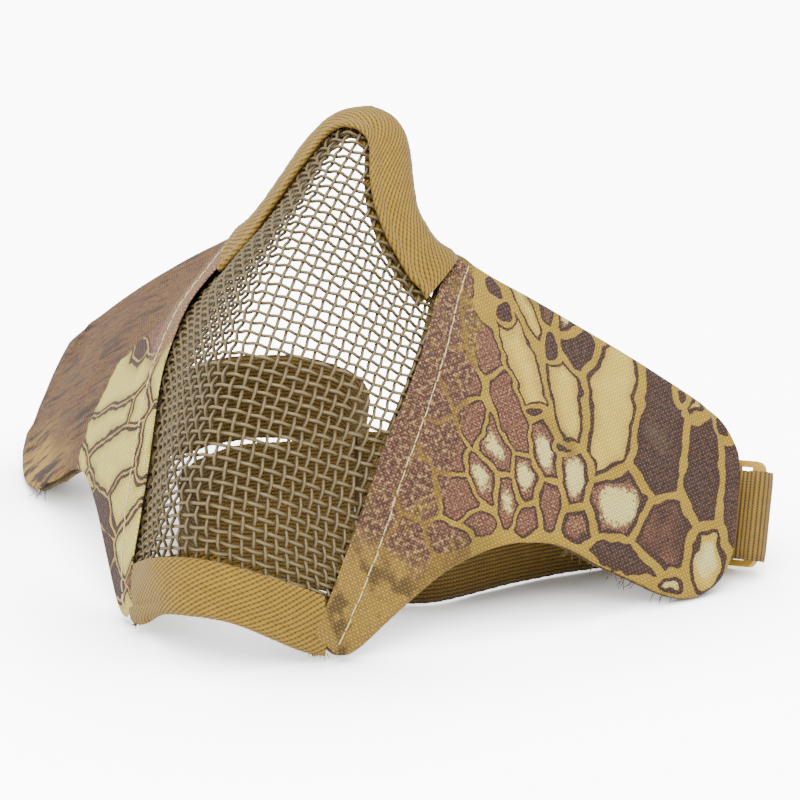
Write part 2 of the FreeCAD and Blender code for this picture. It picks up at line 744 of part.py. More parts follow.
def ribbon(path, up_at, thickness):
    """Webbing along the path; up_at(point) is its width direction there."""
    rings = []
    for i, centre in enumerate(path):
        tangent = tangent_at(path, i)
        face = unit(cross(tangent, unit(up_at(centre))))
        across = unit(cross(face, tangent))
        rings.append([locate(centre, (across, face), (a * WEB_W / 2.0, f * thickness / 2.0))
                      for a, f in ((1, 1), (1, -1), (-1, -1), (-1, 1))])
    return loft(rings, ruled=True)


def web_points(side, places):
    """Points from (along, face) places in the glide frame, at webbing height."""
    return [glide_point(side, along, WEB_DROP, face) for along, face in places]


def arc(centre, radius, start, end, count):
    """(along, face) places on an arc between two angles in degrees, both ends included."""
    angles = [math.radians(start + (end - start) * i / count) for i in range(count + 1)]
    return [(centre[0] + radius * math.cos(angle), centre[1] + radius * math.sin(angle))
            for angle in angles]


# Tab: along the inside of the wing lining, round the rear bar of the tri-glide,
# back through the rear slot and a short way along the other face.
TAB_DEPTH = -(COVER_T + FOAM_T + LINING_T + 3 * LAYER_GAP + TAB_T / 2 + 1.5)
TAB_FACE = GLIDE_T / 2 + WEB_CLEARANCE + TAB_T / 2   # tab centre off the tri-glide centre
TAB_FOLD = (7.9, 4.75)         # (along, face) where the fold starts
TAB_BEND = 1.35                # bend radius in and out of the slot
TAB_SLOT = 4.05                # where the tab passes through the rear slot
TAB_STEP = 1.6
TAB_TWIST = 12.0               # the tab turns to the tri-glide's lean over this distance in s

# per side: depth of the run, its (s, t) places, its (along, face) places near the
# tri-glide, and the s where the twist starts
TABS = {
    RIGHT: (TAB_DEPTH - 0.8,
            [(78.0, 31.0), (83.0, 31.4), (88.0, 32.0), (92.0, 32.6), (95.0, 33.0)],
            [(-1.6, 5.6), (3.5, 5.1), TAB_FOLD], 92.0),
    LEFT: (TAB_DEPTH,
           [(66.0, 34.2), (71.0, 34.4), (76.0, 34.5), (81.0, 34.6), (86.0, 34.7)],
           [(-5.0, 5.75), (-1.6, 5.6), (3.5, 5.1), TAB_FOLD], 84.0)}


def webbing_tab(side):
    depth, wing_run, reach, twist_start = TABS[side]
    on_wing = [on_side(wing(s, t, depth), side) for s, t in wing_run]
    fold_along, fold_face = TAB_FOLD
    fold = arc((fold_along, (fold_face - TAB_FACE) / 2), (fold_face + TAB_FACE) / 2, 90, -90, 12)
    into_slot = arc((TAB_SLOT + TAB_BEND, -TAB_FACE + TAB_BEND), TAB_BEND, -90, -180, 4)
    out_of_slot = arc((TAB_SLOT - TAB_BEND, TAB_FACE - TAB_BEND), TAB_BEND, 0, 90, 4)
    places = (fold[1:] + [(6.6, -TAB_FACE)] + into_slot[1:] + [(TAB_SLOT, 0.0)] + out_of_slot
              + [(1.2, TAB_FACE), (-1.0, TAB_FACE), (-3.0, TAB_FACE)])
    path = smooth_path(on_wing + web_points(side, reach), TAB_STEP) + web_points(side, places)
    glide_up = GLIDE_FRAMES[side][1][1]

    def up_at(point):
        s = dot(sub(on_side(point, side), WING_ORIGIN), WING_S)
        return on_side(lerp(WING_T, glide_up, ease((s - twist_start) / TAB_TWIST)), side)

    return ribbon(path, up_at, TAB_T)


# Strap: loops through the front slot and round the front bar of each tri-glide.
STRAP_FACE = GLIDE_T / 2 + WEB_CLEARANCE + WEB_T / 2  # strap centre off the tri-glide centre
STRAP_BEND = 1.45
STRAP_SLOT = -3.7              # where the strap passes through the front slot
STRAP_STEP = 3.0
SLACK_STEP = 2.6

# x, y, z stations of the strap centre line
RIGHT_TAIL = [
    (-5.0, 101.0, 12.9), (8.0, 104.2, 12.9), (22.0, 105.8, 12.9), (42.0, 106.6, 12.9),
    (60.0, 108.6, 12.9), (76.0, 111.6, 13.1), (86.0, 113.4, 13.6)]
RIGHT_MAIN = [
    (81.0, 97.0, 13.5), (71.0, 86.6, 12.9), (60.0, 75.0, 12.9), (49.0, 60.0, 12.9),
    (39.0, 46.0, 12.9), (24.0, 40.6, 12.9), (8.0, 41.5, 12.9), (-6.0, 39.6, 12.9),
    (-18.0, 34.8, 12.9), (-26.4, 34.2, 12.9)]
CENTRE_SLACK = [
    (-27.5, 34.8, 12.9), (-34.6, 41.0, 12.9), (-38.2, 52.0, 12.9), (-37.5, 66.0, 12.9),
    (-31.0, 77.5, 12.9), (-20.5, 85.0, 12.9), (-11.0, 92.5, 12.9), (-6.4, 97.2, 12.9)]
LEFT_RUN = [
    (-8.0, 108.0, 14.6), (-12.0, 115.5, 17.5), (-20.0, 120.5, 22.5), (-32.0, 119.0, 25.6),
    (-45.0, 113.6, 26.4), (-57.0, 107.8, 24.6), (-67.0, 102.6, 21.2)]


def strap_loop(side):
    """Through the front slot, from the negative to the positive face side."""
    centre = STRAP_SLOT - STRAP_BEND
    return web_points(side, arc((centre, -STRAP_FACE + STRAP_BEND), STRAP_BEND, -90, 0, 4)[1:]
                      + [(STRAP_SLOT, 0.0)]
                      + arc((centre, STRAP_FACE - STRAP_BEND), STRAP_BEND, 0, 90, 4))


def strap_right_run():
    """Free tail on the +Y side of the tri-glide, loop, then the main run on its -Y side."""
    tail_end = web_points(RIGHT, [(-11.5, -STRAP_FACE - 0.25), (-8.6, -STRAP_FACE),
                                  (-6.2, -STRAP_FACE)])
    main_start = web_points(RIGHT, [(-6.2, STRAP_FACE), (-8.6, STRAP_FACE),
                                    (-12.0, STRAP_FACE + 0.5)])
    path = (smooth_path(RIGHT_TAIL + tail_end, STRAP_STEP) + strap_loop(RIGHT)
            + smooth_path(main_start + RIGHT_MAIN, STRAP_STEP)[1:])
    glide_up = GLIDE_FRAMES[RIGHT][1][1]

    def up_at(point):
        return lerp(WORLD_UP, glide_up, ease((point[0] - 72.0) / 22.0))

    return ribbon(path, up_at, WEB_T)


def strap_centre_slack():
    """Curved run on edge between the right and left runs."""
    return ribbon(smooth_path(CENTRE_SLACK, SLACK_STEP), lambda point: WORLD_UP, WEB_T)


def strap_left_run():
    """Rises with a twist to the left tri-glide, loops its front bar and turns back."""
    run_end = web_points(LEFT, [(-16.0, -STRAP_FACE - 0.6), (-12.0, -STRAP_FACE - 0.3),
                                (-8.6, -STRAP_FACE), (-6.2, -STRAP_FACE)])
    turned_back = web_points(LEFT, [(-6.6, STRAP_FACE), (-9.0, STRAP_FACE),
                                    (-12.0, STRAP_FACE), (-16.0, STRAP_FACE - 0.2)])
    path = smooth_path(LEFT_RUN + run_end, STRAP_STEP) + strap_loop(LEFT) + turned_back
    lean = unit((0.0, 0.30, 1.0))
    glide_up = on_side(GLIDE_FRAMES[LEFT][1][1], LEFT)

    def up_at(point):
        out = -point[0]
        leaning = lerp(WORLD_UP, lean, ease((out - 6.0) / 30.0))
        return lerp(leaning, glide_up, ease((out - 40.0) / 38.0))

    return ribbon(path, up_at, WEB_T)


# ---- build and write -------------------------------------------------------
def export(name, shape):
    shape.exportStep("parts/" + name + ".step")


def export_mesh():
    """Weft wires lie on the rows; warp wires are measured at every half row."""
    rows = ridge_rows()
    row_h = curve(rows)
    sections = [cross_section(row_h(i / 2.0)) for i in range(2 * len(rows) - 1)]
    export("mesh_weft_wires", weft_wires(sections[::2]))
    export("mesh_warp_wires", warp_wires(sections))


export_mesh()
export("nose_binding", nose_piece(nose_tape_corners))
export("nose_padding", nose_piece(nose_padding_corners))
export("chin_binding", chin_binding())
for side, prefix in ((RIGHT, "right_"), (LEFT, "left_")):
    export(prefix + "hem", seam_strip(side, COVER_DEPTHS, HEM_BOTTOM_T))
    export(prefix + "seam_facing", seam_strip(side, FACING_DEPTHS, FACING_BOTTOM_T))
    export(prefix + "seam_stitches", seam_stitches(side))
    export(prefix + "wing_cover", wing_cover(side))
    export(prefix + "wing_foam", wing_foam(side))
    export(prefix + "wing_lining", wing_lining(side))
    export(prefix + "webbing_tab", webbing_tab(side))
    export(prefix + "tri_glide", tri_glide(side))
export("strap_right_run", strap_right_run())
export("strap_centre_slack", strap_centre_slack())
export("strap_left_run", strap_left_run())
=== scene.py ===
"""Face guard: a woven wire front panel, two padded camouflage wings and elastic straps.

Shapes are drawn in millimetres with +X to the side named right, -Y to the front and +Z up.
The left side is drawn like the right one and mirrored in x. SHIFT moves the drawing into the
product's frame, which is in metres and stands on the floor at z = 0.
"""
import math
import bpy
import numpy as np
from mathutils import Matrix, Vector


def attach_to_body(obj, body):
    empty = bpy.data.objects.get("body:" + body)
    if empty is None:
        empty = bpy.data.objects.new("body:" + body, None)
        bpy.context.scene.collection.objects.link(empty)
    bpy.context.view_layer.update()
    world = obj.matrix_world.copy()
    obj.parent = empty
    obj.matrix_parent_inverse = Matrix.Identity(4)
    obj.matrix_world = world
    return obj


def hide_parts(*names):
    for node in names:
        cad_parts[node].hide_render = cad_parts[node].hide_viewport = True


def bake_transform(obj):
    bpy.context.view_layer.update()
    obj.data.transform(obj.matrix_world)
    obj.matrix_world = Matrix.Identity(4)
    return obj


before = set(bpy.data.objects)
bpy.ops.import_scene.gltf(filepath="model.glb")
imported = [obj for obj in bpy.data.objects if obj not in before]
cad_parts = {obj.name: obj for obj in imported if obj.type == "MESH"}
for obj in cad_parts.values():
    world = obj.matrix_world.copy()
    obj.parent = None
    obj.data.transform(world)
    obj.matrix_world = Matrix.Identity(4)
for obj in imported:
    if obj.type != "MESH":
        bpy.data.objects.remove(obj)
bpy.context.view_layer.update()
SHIFT = np.array([-0.45, -51.68, 0.6])
RNG = np.random.default_rng(7)
SIDES = ((1, "right"), (-1, "left"))
TWILL_PITCH = 1.48     # spacing of the twill's slanted ribs
TWILL_SLANT = 0.75     # how far the ribs lean along the tape


# ---------------------------------------------------------------- curves and points
def curve(xs, ys):
    """Cubic interpolation through a table, straight beyond its ends."""
    xs = np.array(xs, float)
    ys = np.array(ys, float)
    rise = np.diff(ys) / np.diff(xs)
    slope = np.concatenate([[rise[0]], 0.5 * (rise[1:] + rise[:-1]), [rise[-1]]])

    def value(x):
        x = np.asarray(x, float)
        i = np.clip(np.searchsorted(xs, x) - 1, 0, len(xs) - 2)
        span = xs[i + 1] - xs[i]
        t = (x - xs[i]) / span
        y = ((2 * t ** 3 - 3 * t ** 2 + 1) * ys[i] + (t ** 3 - 2 * t ** 2 + t) * span * slope[i]
             + (-2 * t ** 3 + 3 * t ** 2) * ys[i + 1] + (t ** 3 - t ** 2) * span * slope[i + 1])
        y = np.where(x < xs[0], ys[0] + slope[0] * (x - xs[0]), y)
        return np.where(x > xs[-1], ys[-1] + slope[-1] * (x - xs[-1]), y)
    return value


def smoothstep(start, end, x):
    t = np.clip((np.asarray(x, float) - start) / (end - start), 0, 1)
    return t * t * (3 - 2 * t)


def unit(vectors):
    vectors = np.asarray(vectors, float)
    return vectors / np.maximum(np.linalg.norm(vectors, axis=-1, keepdims=True), 1e-12)


def on_side(points, side):
    """Points drawn for the right side, mirrored when side is -1."""
    return points * np.array([float(side), 1.0, 1.0])


def arc_length(points):
    """Distance of each point along a path."""
    return np.concatenate([[0], np.cumsum(np.linalg.norm(np.diff(points, axis=0), axis=1))])


def points_at(distance, along, points):
    return np.stack([np.interp(distance, along, points[:, i]) for i in range(3)], -1)


def resample(points, step):
    """Smooth path through the points, evenly stepped."""
    points = np.asarray(points, float)
    along = arc_length(points)
    count = max(3, int(round(along[-1] / step)) + 1)
    dense = np.linspace(0, along[-1], 12 * len(points) + 400)
    smooth = np.stack([curve(along, points[:, i])(dense) for i in range(3)], -1)
    along = arc_length(smooth)
    return points_at(np.linspace(0, along[-1], count), along, smooth)


def product_metres(points):
    return (np.asarray(points, float) + SHIFT) / 1000.0


# ---------------------------------------------------------------- meshes
def add_attribute(obj, name, values):
    layer = obj.data.attributes.new(name, 'FLOAT_VECTOR', 'POINT')
    layer.data.foreach_set("vector", np.asarray(values, np.float32).ravel())


def new_mesh(name, points, faces, material, attributes, reverse=False):
    """Smooth mesh object from drawing points; reverse turns its faces over."""
    points = product_metres(np.asarray(points, float).reshape(-1, 3))
    faces = [tuple(int(i) for i in face) for face in faces]
    if reverse:
        faces = [face[::-1] for face in faces]
    mesh = bpy.data.meshes.new(name)
    mesh.from_pydata(points.tolist(), [], faces)
    mesh.update()
    mesh.polygons.foreach_set("use_smooth", [True] * len(mesh.polygons))
    obj = bpy.data.objects.new(name, mesh)
    bpy.context.scene.collection.objects.link(obj)
    for attribute, values in attributes.items():
        add_attribute(obj, attribute, values)
    mesh.materials.append(material)
    return obj


def grid_faces(rows, columns, closed=False):
    """Quads over a grid of points; closed joins the last column to the first."""
    i, j = np.meshgrid(np.arange(rows - 1), np.arange(columns if closed else columns - 1),
                       indexing='ij')
    ahead = (j + 1) % columns
    corners = [i * columns + j, (i + 1) * columns + j, (i + 1) * columns + ahead,
               i * columns + ahead]
    return np.stack(corners, -1).reshape(-1, 4)


def loft_faces(rings, sides):
    """Skin over closed rings, capped at both ends."""
    return [*grid_faces(rings, sides, closed=True), range(sides)[::-1],
            range((rings - 1) * sides, rings * sides)]


def tube(path, normal, radius, sides=8):
    """Points, faces and (along, angle, crown) coordinates of a round tube."""
    count = len(path)
    along = unit(np.gradient(path, axis=0))
    across = unit(np.cross(along, normal))
    crown = unit(np.cross(across, along))
    angle = np.arange(sides) * 2 * math.pi / sides
    ring = (np.cos(angle)[None, :, None] * across[:, None, :]
            + np.sin(angle)[None, :, None] * crown[:, None, :])
    radii = np.broadcast_to(np.asarray(radius, float), (count,))
    points = path[:, None, :] + ring * radii[:, None, None]
    coords = np.stack([np.repeat(arc_length(path), sides), np.tile(angle, count),
                       np.tile(np.sin(angle), count)], -1)
    return points.reshape(-1, 3), loft_faces(count, sides), coords


def join_tubes(name, tubes, material):
    """One object from many tubes, each with its own stretch of texture."""
    points, faces, coords = [], [], []
    base = 0
    for i, (tube_points, tube_faces, tube_coords) in enumerate(tubes):
        points.append(tube_points)
        faces += [[q + base for q in face] for face in tube_faces]
        coords.append(tube_coords + np.array([37.0 * i, 0.0, 0.0]))
        base += len(tube_points)
    return new_mesh(name, np.concatenate(points), faces, material,
                    {"mm": np.concatenate(coords)})


def attach(obj, body, slot, *replaced):
    """Move with a body and stand in for product nodes; slot is not used."""
    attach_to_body(obj, body)
    if replaced:
        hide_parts(*replaced)


# ---------------------------------------------------------------- materials
SATURATION = 1.20
CONTRAST = 1.36
CONTRAST_PIVOT = 0.30


def graded(color):
    """Linear colour from 0-255 sRGB, with more saturation and contrast."""
    srgb = [c / 255.0 for c in color]
    linear = np.array([c / 12.92 if c <= 0.04045 else ((c + 0.055) / 1.055) ** 2.4
                       for c in srgb])
    grey = float(linear @ np.array([0.25, 0.62, 0.13]))
    linear = np.maximum(grey + (linear - grey) * SATURATION, 0.001)
    linear = CONTRAST_PIVOT * (linear / CONTRAST_PIVOT) ** CONTRAST
    return (*(float(min(c, 0.95)) for c in linear), 1.0)


class Shader:
    """Node graph builder. Colours of three numbers are 0-255 sRGB; four are linear RGBA."""

    def __init__(self, name):
        self.material = bpy.data.materials.new(name)
        self.material.use_nodes = True
        self.tree = self.material.node_tree
        self.tree.nodes.clear()
        output = self.node("ShaderNodeOutputMaterial")
        self.bsdf = self.node("ShaderNodeBsdfPrincipled")
        self.tree.links.new(self.bsdf.outputs[0], output.inputs[0])

    def node(self, kind, **settings):
        node = self.tree.nodes.new(kind)
        for key, value in settings.items():
            setattr(node, key, value)
        return node

    def put(self, socket, value):
        if isinstance(value, bpy.types.NodeSocket):
            self.tree.links.new(value, socket)
        elif socket.type == 'RGBA' and len(value) == 3:
            socket.default_value = graded(value)
        else:
            socket.default_value = value

    def attribute(self, name):
        return self.node("ShaderNodeAttribute", attribute_name=name).outputs["Vector"]

    def object_coords(self):
        return self.node("ShaderNodeTexCoord").outputs["Object"]

    def math(self, operation, *values):
        node = self.node("ShaderNodeMath", operation=operation)
        if len(values) == 1:
            values += (0.0,)
        for socket, value in zip(node.inputs, values):
            self.put(socket, value)
        return node.outputs[0]

    def mul(self, a, b):
        return self.math('MULTIPLY', a, b)

    def add(self, a, b):
        return self.math('ADD', a, b)

    def invert(self, value):
        return self.math('SUBTRACT', 1.0, value)

    def remap(self, value, gain, offset):
        return self.math('MULTIPLY_ADD', value, gain, offset)

    def jitter(self, value, noise, amount):
        """Value shifted both ways by a 0-1 noise."""
        return self.add(value, self.mul(self.math('SUBTRACT', noise, 0.5), amount))

    def sine(self, value):
        return self.math('SINE', value)

    def ripple(self, distance, pitch):
        """Sine wave from 0 to 1 with the given pitch."""
        return self.remap(self.sine(self.mul(distance, 2 * math.pi / pitch)), gain=0.5, offset=0.5)

    def scaled(self, vector, factor):
        """Vector times a number, or times a tuple axis by axis."""
        stretch = isinstance(factor, tuple)
        node = self.node("ShaderNodeVectorMath", operation='MULTIPLY' if stretch else 'SCALE')
        self.put(node.inputs[0], vector)
        self.put(node.inputs[1] if stretch else node.inputs["Scale"], factor)
        return node.outputs[0]

    def split(self, vector):
        node = self.node("ShaderNodeSeparateXYZ")
        self.put(node.inputs[0], vector)
        return node.outputs

    def noise(self, vector, detail, rough, scale=1.0):
        node = self.node("ShaderNodeTexNoise")
        self.put(node.inputs["Vector"], vector)
        self.put(node.inputs["Scale"], scale)
        self.put(node.inputs["Detail"], detail)
        self.put(node.inputs["Roughness"], rough)
        return node.outputs["Fac"]

    def pattern(self, vector, freq, detail, rough):
        """Noise over coordinates scaled by freq, a number or one per axis."""
        return self.noise(self.scaled(vector, freq), detail, rough)

    def ramp(self, value, stops):
        node = self.node("ShaderNodeValToRGB")
        elements = node.color_ramp.elements
        elements.remove(elements[1])
        elements[0].position, elements[0].color = stops[0][0], graded(stops[0][1])
        for position, color in stops[1:]:
            elements.new(position).color = graded(color)
        self.put(node.inputs[0], value)
        return node.outputs[0]

    def mix(self, mask, base, top, amount=None, blend='MIX'):
        """Top over base where the mask is 1; amount weakens the mask."""
        if amount is not None:
            mask = self.mul(mask, amount)
        node = self.node("ShaderNodeMix", data_type='RGBA', blend_type=blend)
        self.put(node.inputs[0], mask)
        self.put(node.inputs[6], base)
        self.put(node.inputs[7], top)
        return node.outputs[2]

    def step(self, value, lo, hi):
        """0 below lo, 1 above hi, smooth between."""
        node = self.node("ShaderNodeMapRange", interpolation_type='SMOOTHSTEP')
        self.put(node.inputs["Value"], value)
        node.inputs["From Min"].default_value = lo
        node.inputs["From Max"].default_value = hi
        return node.outputs[0]

    def bump(self, height, strength, depth, normal=None):
        node = self.node("ShaderNodeBump")
        self.put(node.inputs["Height"], height)
        node.inputs["Strength"].default_value = strength
        node.inputs["Distance"].default_value = depth
        if normal is not None:
            self.put(node.inputs["Normal"], normal)
        return node.outputs[0]

    def finish(self, color, rough, normal=None, **inputs):
        self.put(self.bsdf.inputs["Base Color"], color)
        self.put(self.bsdf.inputs["Roughness"], rough)
        if normal is not None:
            self.put(self.bsdf.inputs["Normal"], normal)
        for key, value in inputs.items():
            self.put(self.bsdf.inputs[key.replace("_", " ")], value)
        return self.material


def weave_height(m, cloth, pitch):
    """Plain weave: over and under squares with thin gaps between the threads."""
    x, y, _ = m.split(cloth)
    phase_x = m.mul(x, math.pi / pitch)
    phase_y = m.mul(y, math.pi / pitch)
    crossing = m.mul(m.sine(phase_x), m.sine(phase_y))
    thread_x = m.math('ABSOLUTE', m.sine(phase_x))
    thread_y = m.math('ABSOLUTE', m.sine(phase_y))
    over = m.remap(crossing, gain=0.5, offset=0.5)
    threads = m.math('POWER', m.mul(thread_x, thread_y), 0.5)
    return m.mul(m.remap(over, gain=0.55, offset=0.45), threads)


def printed_scales(m, right, cell, line_width, rel, noises):
    """Light, mottled and dark cells with outlines; rel is edge distance over line width."""
    edge, tone, heart = cell
    fine, grain, mid = noises
    if right:
        line = m.mix(mid, (158, 136, 74), (188, 166, 100))
        cream = m.mix(mid, (226, 204, 138), (204, 176, 104))
        pale = m.mix(mid, (238, 218, 172), (222, 196, 144))
    else:
        line = m.mix(mid, (206, 186, 132), (184, 160, 100))
        cream = m.mix(mid, (238, 220, 160), (218, 194, 124))
        pale = cream
    dark = m.mix(m.step(fine, lo=0.40, hi=0.62), (72, 56, 52), (106, 84, 74))
    mauve = m.mix(m.step(grain, lo=0.42, hi=0.60), (100, 72, 66), (176, 144, 118))
    plum = m.mix(m.step(fine, lo=0.38, hi=0.62), mauve, (120, 88, 78))
    # tone: 0 light, 0.5 mottled plum with a pale heart, 1 dark
    heart_edge = m.jitter(heart, fine, amount=1.3)
    mottled = m.mix(m.step(heart_edge, lo=0.30, hi=0.62), plum, pale)
    light = m.mix(m.step(heart, lo=0.45, hi=0.55), cream, pale)
    inner = m.mix(m.step(tone, lo=0.22, hi=0.26), light, mottled)
    inner = m.mix(m.step(m.jitter(tone, mid, amount=0.35), lo=0.60, hi=0.84), inner, dark)
    # light cells darken a little towards their edge
    rim = m.invert(m.step(m.math('SUBTRACT', edge, line_width), lo=0.6, hi=4.5))
    is_light = m.invert(m.step(tone, lo=0.22, hi=0.26))
    inner = m.mix(m.mul(rim, is_light), inner, (150, 120, 64), amount=0.45)
    outline = m.mix(mid, (74, 56, 54), (94, 72, 62))
    border = m.mix(m.step(rel, lo=0.80, hi=1.0), line, outline)
    if right:
        inside = m.step(rel, lo=1.85, hi=2.15)
    else:
        inside = m.step(rel, lo=3.4, hi=4.0)
    return m.mix(inside, border, inner)


def mottled_ground(m, cloth, rel):
    """Mauve and khaki patches with light and dark specks and faint scale lines."""
    patch = m.pattern(m.scaled(cloth, (1, 0.7, 1)), freq=0.10, detail=3.5, rough=0.6)
    x, y, _ = m.split(cloth)
    bias = m.mul(m.invert(m.step(y, lo=34.0, hi=56.0)), 0.12)
    ground = m.mix(m.step(m.math('SUBTRACT', patch, bias), lo=0.42, hi=0.62),
                   (112, 86, 78), (138, 118, 74))
    speck = m.pattern(cloth, freq=0.75, detail=3.0, rough=0.75)
    ground = m.mix(m.step(speck, lo=0.52, hi=0.62), ground, (192, 168, 124), amount=0.8)
    ground = m.mix(m.invert(m.step(speck, lo=0.38, hi=0.48)), ground, (84, 62, 58), amount=0.8)
    lines = m.mul(m.invert(m.step(rel, lo=0.8, hi=1.5)), 0.7)
    lines = m.mul(lines, m.step(x, lo=4.0, hi=12.0))
    return m.mix(lines, ground, (150, 128, 72))


def streaked_ground(m, cloth, streak_share):
    """Ground of the left wing: long streaks of brown, tan and near black."""
    streak = m.pattern(cloth, freq=(0.030, 0.36, 1), detail=4.0, rough=0.7)
    broad = m.pattern(cloth, freq=(0.03, 0.07, 1), detail=2.0, rough=0.5)
    ground = m.ramp(streak, [
        (0.36, (62, 48, 42)), (0.44, (104, 78, 58)), (0.49, (146, 112, 72)),
        (0.52, (72, 56, 48)), (0.56, (150, 122, 78)), (0.60, (74, 58, 50)),
        (0.66, (122, 92, 66))])
    ground = m.mix(m.step(broad, lo=0.52, hi=0.68), ground, (104, 82, 70), amount=0.35)
    return m.mix(m.mul(streak_share, m.step(streak, lo=0.44, hi=0.54)), ground, (186, 162, 104))


def camo_material(name, right):
    """Printed scale camouflage on plain-weave nylon.

    Attributes: st (mm on the cloth), cell (mm to the cell edge, tone, pale heart),
    zone (share of ground, line width, share of streaks).
    """
    m = Shader(name)
    cloth = m.attribute("st")
    cell = m.split(m.attribute("cell"))
    ground_share, line_width, streak_share = m.split(m.attribute("zone"))
    fine = m.pattern(cloth, freq=0.9, detail=3.0, rough=0.7)
    grain = m.pattern(cloth, freq=1.7, detail=2.0, rough=0.6)
    mid = m.pattern(cloth, freq=0.17, detail=3.0, rough=0.55)
    rel = m.math('DIVIDE', m.jitter(cell[0], fine, amount=0.55), line_width)
    scales = printed_scales(m, right, cell, line_width, rel, (fine, grain, mid))
    if right:
        ground = mottled_ground(m, cloth, rel)
    else:
        ground = streaked_ground(m, cloth, streak_share)
    color = m.mix(m.step(m.jitter(ground_share, mid, amount=0.5), lo=0.42, hi=0.58),
                  scales, ground)
    if not right:
        # mottled strip beside the seam
        x, y, _ = m.split(cloth)
        strip = m.mul(m.step(y, lo=16.0, hi=34.0), m.invert(m.step(x, lo=10.0, hi=15.0)))
        strip_color = m.mix(m.step(grain, lo=0.42, hi=0.60), (124, 96, 86), (186, 160, 132))
        color = m.mix(strip, color, strip_color, amount=0.8)
    # soft dark olive smudges
    smudge = m.step(m.pattern(cloth, freq=0.045, detail=2.0, rough=0.5), lo=0.60, hi=0.72)
    color = m.mix(smudge, color, (78, 72, 52), amount=0.35 if right else 0.15)
    if right:
        # khaki with darker olive blotches towards the lower front tip
        x, y, _ = m.split(cloth)
        low = m.invert(m.step(m.jitter(y, mid, amount=14.0), lo=-24.0, hi=-12.0))
        olive = m.step(m.pattern(cloth, freq=0.11, detail=2.5, rough=0.55), lo=0.50, hi=0.62)
        khaki = m.mix(fine, (150, 128, 74), (182, 160, 100))
        color = m.mix(low, color, khaki, amount=0.75)
        color = m.mix(m.mul(low, olive), color, (84, 70, 50), amount=0.75)
    # each thread is dyed a little differently, and the gaps between threads are darkened as painted
    # shade
    height = weave_height(m, cloth, pitch=0.74)
    thread = m.pattern(cloth, freq=(0.25, 2.2, 1), detail=1.0, rough=0.5)
    light = m.mul(m.remap(height, gain=0.95, offset=0.38), m.remap(thread, gain=0.24, offset=0.88))
    grey = m.node("ShaderNodeCombineXYZ")
    for socket in grey.inputs:
        m.put(socket, light)
    color = m.mix(1.0, color, grey.outputs[0], blend='MULTIPLY')
    # painted highlight: the thread crowns are lightened
    color = m.mix(m.step(height, lo=0.70, hi=0.98), color, (222, 200, 160), amount=0.13)
    wear = m.step(m.pattern(cloth, freq=0.03, detail=4.0, rough=0.7), lo=0.58, hi=0.75)
    color = m.mix(wear, color, (214, 200, 172), amount=0.06)
    normal = m.bump(height, strength=0.6, depth=0.00022)
    creases = m.pattern(cloth, freq=0.09, detail=3.0, rough=0.6)
    normal = m.bump(creases, strength=0.25, depth=0.0012, normal=normal)
    return m.finish(color, m.remap(height, gain=-0.12, offset=0.86), normal,
                    Sheen_Weight=0.06, Sheen_Roughness=0.5)


def rib_relief(m, rows, row_pitch, beads, bead_pitch, share, gap, bead_gap, sharpen=True):
    """Ribs crossed by beads: height and the mask of painted shade between the ribs.

    share is the ribs' part of the height, gap the ridge range that is painted with shade and
    bead_gap how much the beads vary that painted shade.
    """
    ridge = m.ripple(rows, row_pitch)
    bead = m.ripple(beads, bead_pitch)
    crest = m.math('POWER', ridge, 0.7) if sharpen else ridge
    height = m.add(m.mul(crest, share), m.mul(bead, 1 - share))
    dark = m.mul(m.invert(m.step(ridge, lo=gap[0], hi=gap[1])),
                 m.remap(bead, gain=bead_gap, offset=1 - bead_gap))
    return height, dark


def tape_relief(m, mm, kind):
    if kind == "knit":
        height = weave_height(m, mm, pitch=0.62)
        return height, m.invert(m.step(height, lo=0.1, hi=0.5))
    along, across, _ = m.split(mm)
    if kind == "web":
        return rib_relief(m, along, 1.18, across, 0.78, share=0.7, gap=(0.05, 0.42), bead_gap=0.5)
    if kind == "strap":
        return rib_relief(m, across, 1.15, along, 0.95, share=0.65, gap=(0.05, 0.42), bead_gap=0.6)
    slanted = m.add(m.mul(along, TWILL_SLANT), m.mul(across, 1.0))
    return rib_relief(m, slanted, TWILL_PITCH, along, 1.1, share=0.7, gap=(0.06, 0.46),
                      bead_gap=0.6, sharpen=False)


def tape_material(name, kind, light, shade, gap_shade_color):
    """Khaki woven tape; attribute mm is (along, across, face)."""
    m = Shader(name)
    mm = m.attribute("mm")
    height, gap = tape_relief(m, mm, kind)
    tint = m.pattern(mm, freq=0.30, detail=3.0, rough=0.6)
    stain = m.pattern(mm, freq=0.05, detail=2.0, rough=0.5)
    color = m.mix(tint, shade, light)
    color = m.mix(m.step(stain, lo=0.5, hi=0.75), color, (126, 104, 62), amount=0.30)
    # painted shade: the gaps between ribs and threads are darkened
    color = m.mix(gap, color, gap_shade_color, amount=0.88)
    # painted highlight: the rib crowns are lightened
    color = m.mix(m.step(height, lo=0.72, hi=1.0), color, (206, 184, 128), amount=0.22)
    normal = m.bump(height, strength=0.7, depth=0.00030)
    fuzz = m.pattern(mm, freq=3.2, detail=2.0, rough=0.5)
    normal = m.bump(fuzz, strength=0.25, depth=0.00012, normal=normal)
    return m.finish(color, 0.84, normal, Sheen_Weight=0.15, Sheen_Roughness=0.5)


